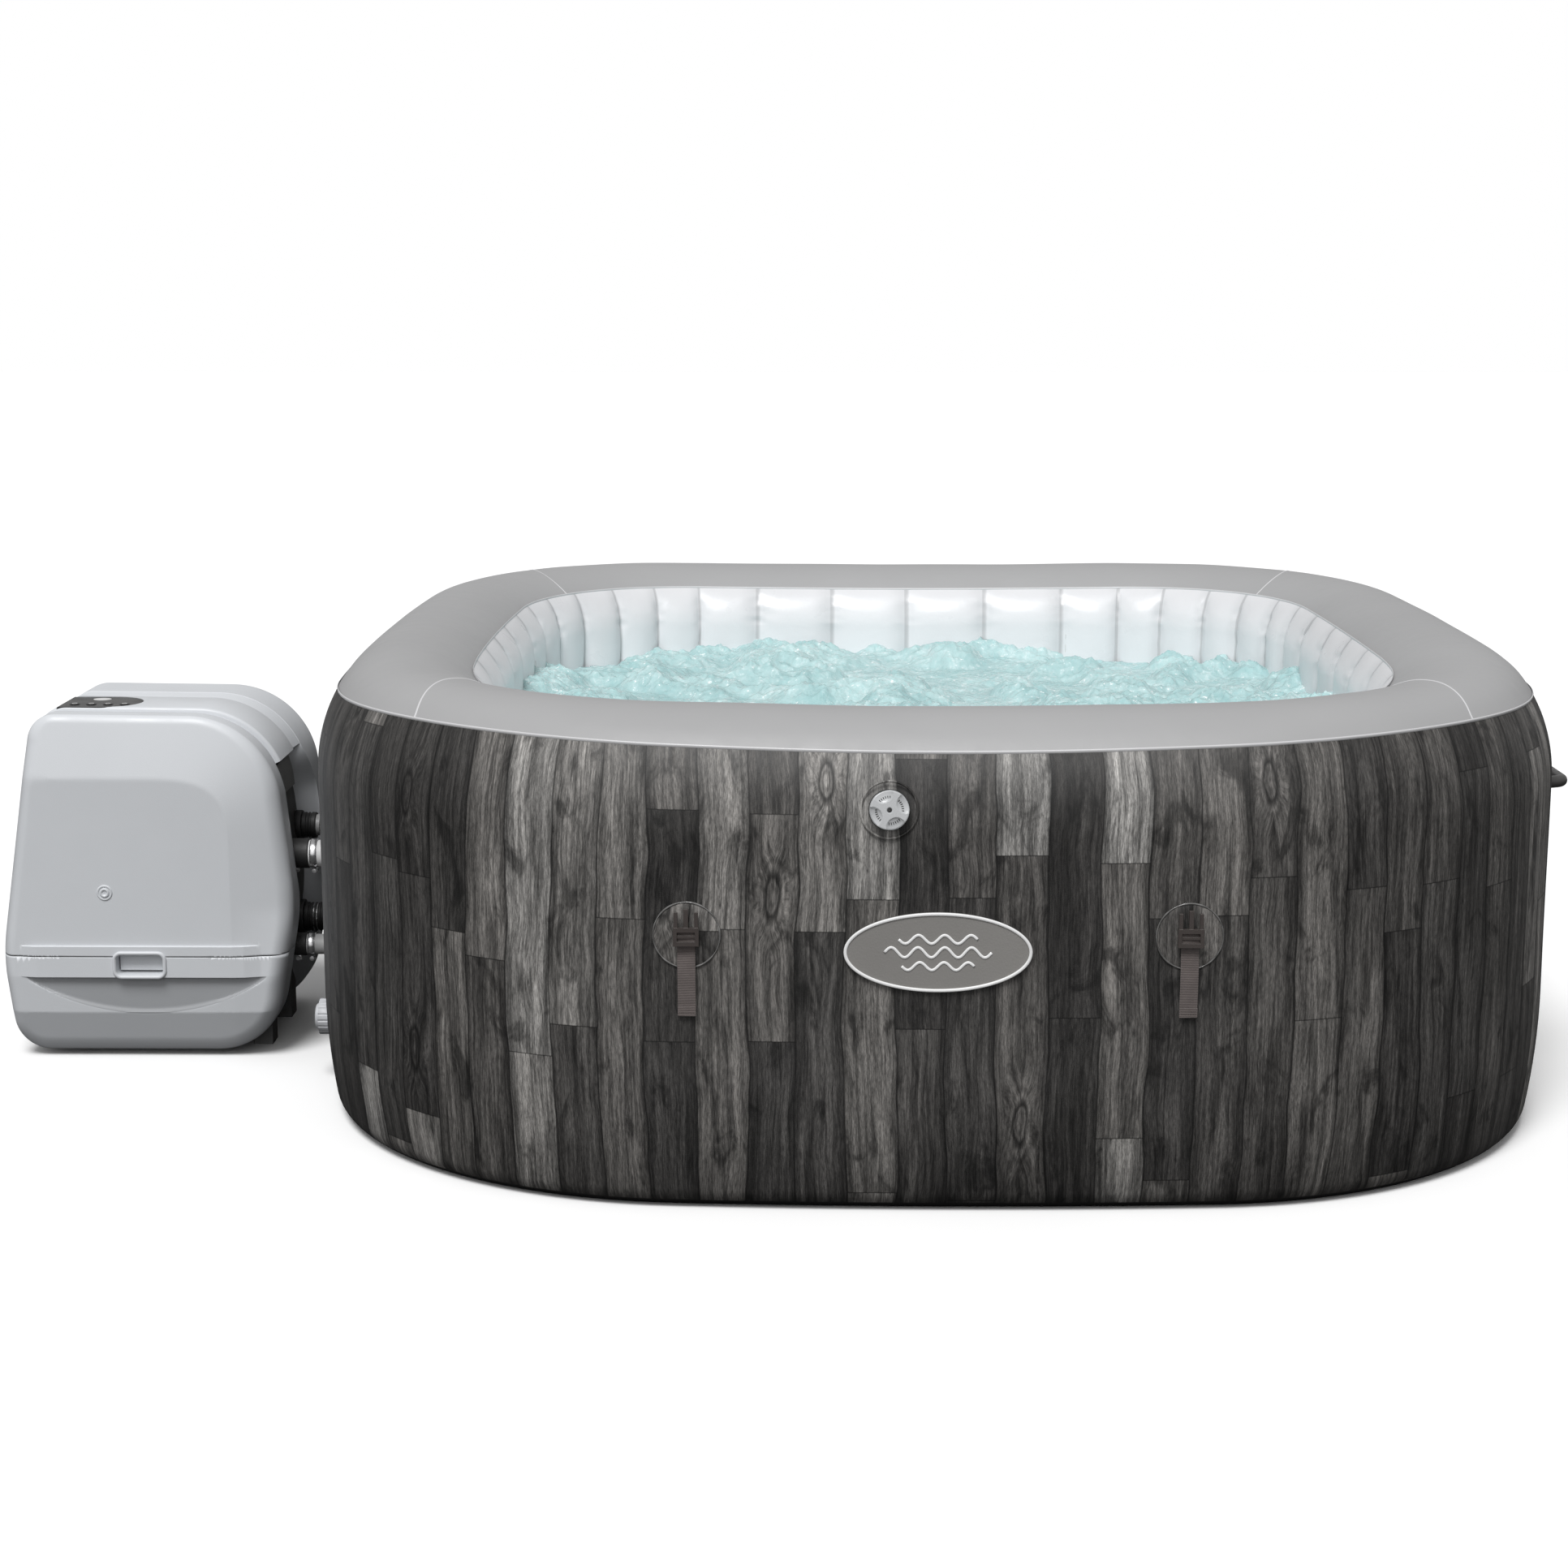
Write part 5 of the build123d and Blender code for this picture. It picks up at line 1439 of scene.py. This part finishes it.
def ring_on_wall(name, u0, z0, reach, wide, tall, paint, uneven=0.0):
    """A weld bead round a circle on the wall."""
    steps = 120
    path = list(range(steps))

    def sides(k):
        turn = TAU * k / steps
        swell = 1 + uneven * wobble(math.cos(turn), math.sin(turn), u0, 4.0, 1.0)
        ring = []
        for out, up in ((-0.5, -0.1), (-0.32, 0.75), (0.0, 1.0), (0.32, 0.75), (0.5, -0.1)):
            r = reach + out * wide * swell
            ring.append(wall_spot(u0 + r * math.cos(turn), z0 + r * math.sin(turn),
                                  0.0004 + up * tall * swell))
        return ring

    return tube_along(name, path, sides, paint, True)


STRAP_WIDE = 0.023
STRAP_THICK = 0.0015


def webbing_tail(name, u0):
    """A strap tail that hangs from the buckle's bar to a folded, stitched end."""
    path = [(0.010, 0.0068), (0.004, 0.0085), (-0.002, 0.0098), (-0.008, 0.0088), (-0.014, 0.0060)]
    path += [(-0.014 - 0.090 * k / 14, 0.0046 + 0.0014 * math.sin(k / 14 * math.pi * 1.3)) for k in range(1,
                                                                                                          15)]
    fold = path[-1]
    path += [(fold[0] - 0.0012, fold[1] + 0.0012), (fold[0] - 0.0003, fold[1] + 0.0024)]
    path += [(fold[0] + 0.0115 * k / 3, fold[1] + 0.0024) for k in range(1, 4)]
    points, uvs = [], []
    run = lengths(path)
    lean = 0.0016 * wobble(u0, 0.3, 0.7, 9.0)
    for k, (down, out) in enumerate(path):
        ahead = path[min(k + 1, len(path) - 1)]
        behind = path[max(k - 1, 0)]
        step = math.dist(ahead, behind)
        normal = (-(ahead[1] - behind[1]) / step, (ahead[0] - behind[0]) / step)
        slide = lean * min(1.0, run[k] / 0.1)
        for side, face in ((-1, -1), (-0.94, -1.0), (0.94, -1.0), (1, -1), (1, 1), (0.94, 1.0), (-0.94, 1.0),
                           (-1, 1)):
            edge = 0.6 if abs(side) == 1 else 1.0
            away = face * STRAP_THICK / 2 * edge
            points.append(wall_spot(u0 + slide + side * STRAP_WIDE / 2, STRAP_Z + down - normal[0] * away,
                                    out - normal[1] * away))
            uvs.append((side * STRAP_WIDE / 2, run[k]))
    faces, corners = ring_faces(len(path), 8, True)
    last = (len(path) - 1) * 8
    uv = [uvs[r * 8 + c % 8] for quad in corners for r, c in quad]
    caps = [tuple(reversed(range(8))), tuple(last + j for j in range(8))]
    for cap in caps:
        uv += [uvs[j] for j in cap]
    tail = add_piece(name, points, faces + caps, "webbing", body=None, uv=uv)
    wall_spot(u0, STRAP_HINGE_Z + 0.006, 0.008)
    wall_spot(u0, STRAP_HINGE_Z - 0.010, 0.008)
    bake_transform(tail)
    tail.data.set_sharp_from_angle(angle=math.radians(50))
    stitches = []
    for row in (-0.004, -0.008):
        for k in range(9):
            across = (k - 4) * 0.0022
            stitches.append((across, fold[0] + 0.0115 + row))
    thread, quads = [], []
    for across, down in stitches:
        first = len(thread)
        for dx, dz, up in ((-0.0007, -0.0003, 0), (0.0007, -0.0003, 0), (0.0007, 0.0003, 0),
                           (-0.0007, 0.0003, 0),
                           (-0.0006, 0.0, 0.0005), (0.0006, 0.0, 0.0005)):
            thread.append(wall_spot(u0 + lean + across + dx, STRAP_Z + down + dz,
                                    fold[1] + 0.0024 + STRAP_THICK / 2 + up - 0.0001))
        quads += [(first, first + 1, first + 5, first + 4), (first + 2, first + 3, first + 4, first + 5),
                  (first + 1, first + 2, first + 5), (first + 3, first, first + 4)]
    seam = add_piece(f"{name}_stitches", thread, quads, "webbing_thread")
    return tail


def build_straps():
    """The welded patches, their weld beads and the webbing tails."""
    for name, u0 in strap_sides().items():
        disc_on_wall(f"patch_{name}", u0, STRAP_Z, 0.0425, 0.0011, 0.137)
        ring_on_wall(f"patch_weld_{name}", u0, STRAP_Z, 0.0428, 0.0023, 0.0012, "patch_edge", 0.7)
        webbing_tail(f"strap_tail_{name}", u0)
    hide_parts("strap_patches")


VALVE_Z = 0.536
VALVE_X = FRONT_X - 0.063


def valve_place(x, y, z):
    """From the valve's own frame (x right, y up the wall, z out) to the scene."""
    lean = math.asin((VALVE_Z - SHOULDER_Z) / shoulder_radius)
    inset = shoulder_radius * (1 - math.cos(lean))
    foot = -(math.sqrt((SIDE_RADIUS - inset) ** 2 - VALVE_X ** 2) - SIDE_OFFSET)
    out = foot + y * math.sin(lean) - z * math.cos(lean)
    return (VALVE_X + x, out, VALVE_Z + y * math.cos(lean) + z * math.sin(lean))


def build_valve():
    """The air valve's screw cap with four ribbed finger dips, its seat and its welded ring."""
    around = 144
    dips = [math.radians(22 + 90 * k) for k in range(4)]

    def dip(r, turn):
        for middle in dips:
            across, along = r * math.sin(turn - middle), r * math.cos(turn - middle)
            far = ((along - 0.0240) / 0.0135) ** 2 + (across / 0.0128) ** 2
            if far < 1:
                return 0.0034 * (1 - far) ** 0.6
        return 0.0

    points = []
    profile = [(0.0031, 0.0080), (0.0031, 0.0148), (0.0037, 0.0155), (0.0044, 0.0157)]
    profile += [(0.0044 + 0.0192 * k / 40, 0.0157) for k in range(1, 41)]
    profile += [(0.0246, 0.0152), (0.0251, 0.0142), (0.0253, 0.0120), (0.0253, 0.0047), (0.0229, 0.0047)]
    for r, z in profile:
        for k in range(around):
            turn = TAU * k / around
            lower = dip(r, turn) if z > 0.0125 else 0.0
            points.append(valve_place(r * math.cos(turn), r * math.sin(turn), z - lower))
    faces, _ = ring_faces(len(profile), around, True)
    cap = add_piece("valve_cap_dipped", points, faces, "valve", "valve_cap")
    cap.data.set_sharp_from_angle(angle=math.radians(30))
    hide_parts("air_valve_cap")
    marks, quads = [], []
    for middle in dips:
        for k in range(6):
            turn = middle + math.radians(-24 + 9.6 * k)
            out = np.array([math.cos(turn), math.sin(turn)])
            side = np.array([-out[1], out[0]])
            first = len(marks)
            floor_at = 0.0157 - dip(0.0168, turn)
            for up in (-0.0004, 0.0006):
                for a, b in ((-0.0015, -0.00045), (0.0015, -0.00045), (0.0015, 0.00045), (-0.0015, 0.00045)):
                    x, y = out * (0.0168 + a) + side * b
                    marks.append(valve_place(x, y, floor_at + up))
            quads += [(first + 4, first + 5, first + 6, first + 7)]
            quads += [(first + j, first + (j + 1) % 4, first + 4 + (j + 1) % 4,
                       first + 4 + j) for j in range(4)]
    add_piece("valve_cap_ribs", marks, quads, "rubber", "valve_cap", smooth=False)
    centre = valve_place(0, 0, 0)
    out = Vector(valve_place(0, 0, 1)) - Vector(centre)
    seat = [(0.0172, -0.037), (0.0172, 0.0078), (0.0178, 0.0082), (0.0222, 0.0082), (0.0225, 0.0070),
            (0.0225, 0.0024),
            (0.0256, 0.0024), (0.0261, 0.0016), (0.0261, -0.002), (0.0225, -0.002), (0.0225, -0.037),
            (0.0172, -0.037)]
    body = lathe("valve_seat", centre, out, seat, "rubber", segments=72)
    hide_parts("air_valve_body")
    for name in ("air_valve_body", "air_valve_cap"):
        nodes[name].data.materials.clear()
        nodes[name].data.materials.append(PAINTS["valve"])
    bead, places = [], []
    for k in range(120):
        turn = TAU * k / 120
        for r, z in ((0.0346, 0.0003), (0.0354, 0.0011), (0.0361, 0.0013), (0.0368, 0.0010),
                     (0.0376, 0.0002)):
            x, y = r * math.cos(turn), r * math.sin(turn)
            bead.append(valve_place(x, y, z + 0.0006))
            places.append((QUARTER + VALVE_X + x, VALVE_Z + y + WALL_RUN))
    faces, _ = ring_faces(120, 5, False)
    faces += [(119 * 5 + j, 119 * 5 + j + 1, j + 1, j) for j in range(4)]
    uv = [places[v] for face in faces for v in face]
    add_piece("valve_weld", bead, faces, "print_wood", uv=uv)


build_pump_top()
build_hose_trim()
build_badge()
build_straps()
build_valve()


# ---------------------------------------------------------------- stage
floor_mesh = bpy.data.meshes.new("floor")
floor_mesh.from_pydata([(-30, -30, 0), (30, -30, 0), (30, 30, 0), (-30, 30, 0)], [], [(0, 1, 2, 3)])
floor_paint = Paint("pale_floor", Roughness=0.9)
floor_paint.shader.inputs["Specular IOR Level"].default_value = 0.0
level = shown_and_cast(floor_paint.tree, 0.97, 0.07)
floor_paint.colour(floor_paint.node("ShaderNodeCombineColor", Red=level, Green=level, Blue=level).outputs[0])
floor_mesh.materials.append(floor_paint.material)
floor = bpy.data.objects.new("floor", floor_mesh)
bpy.context.scene.collection.objects.link(floor)
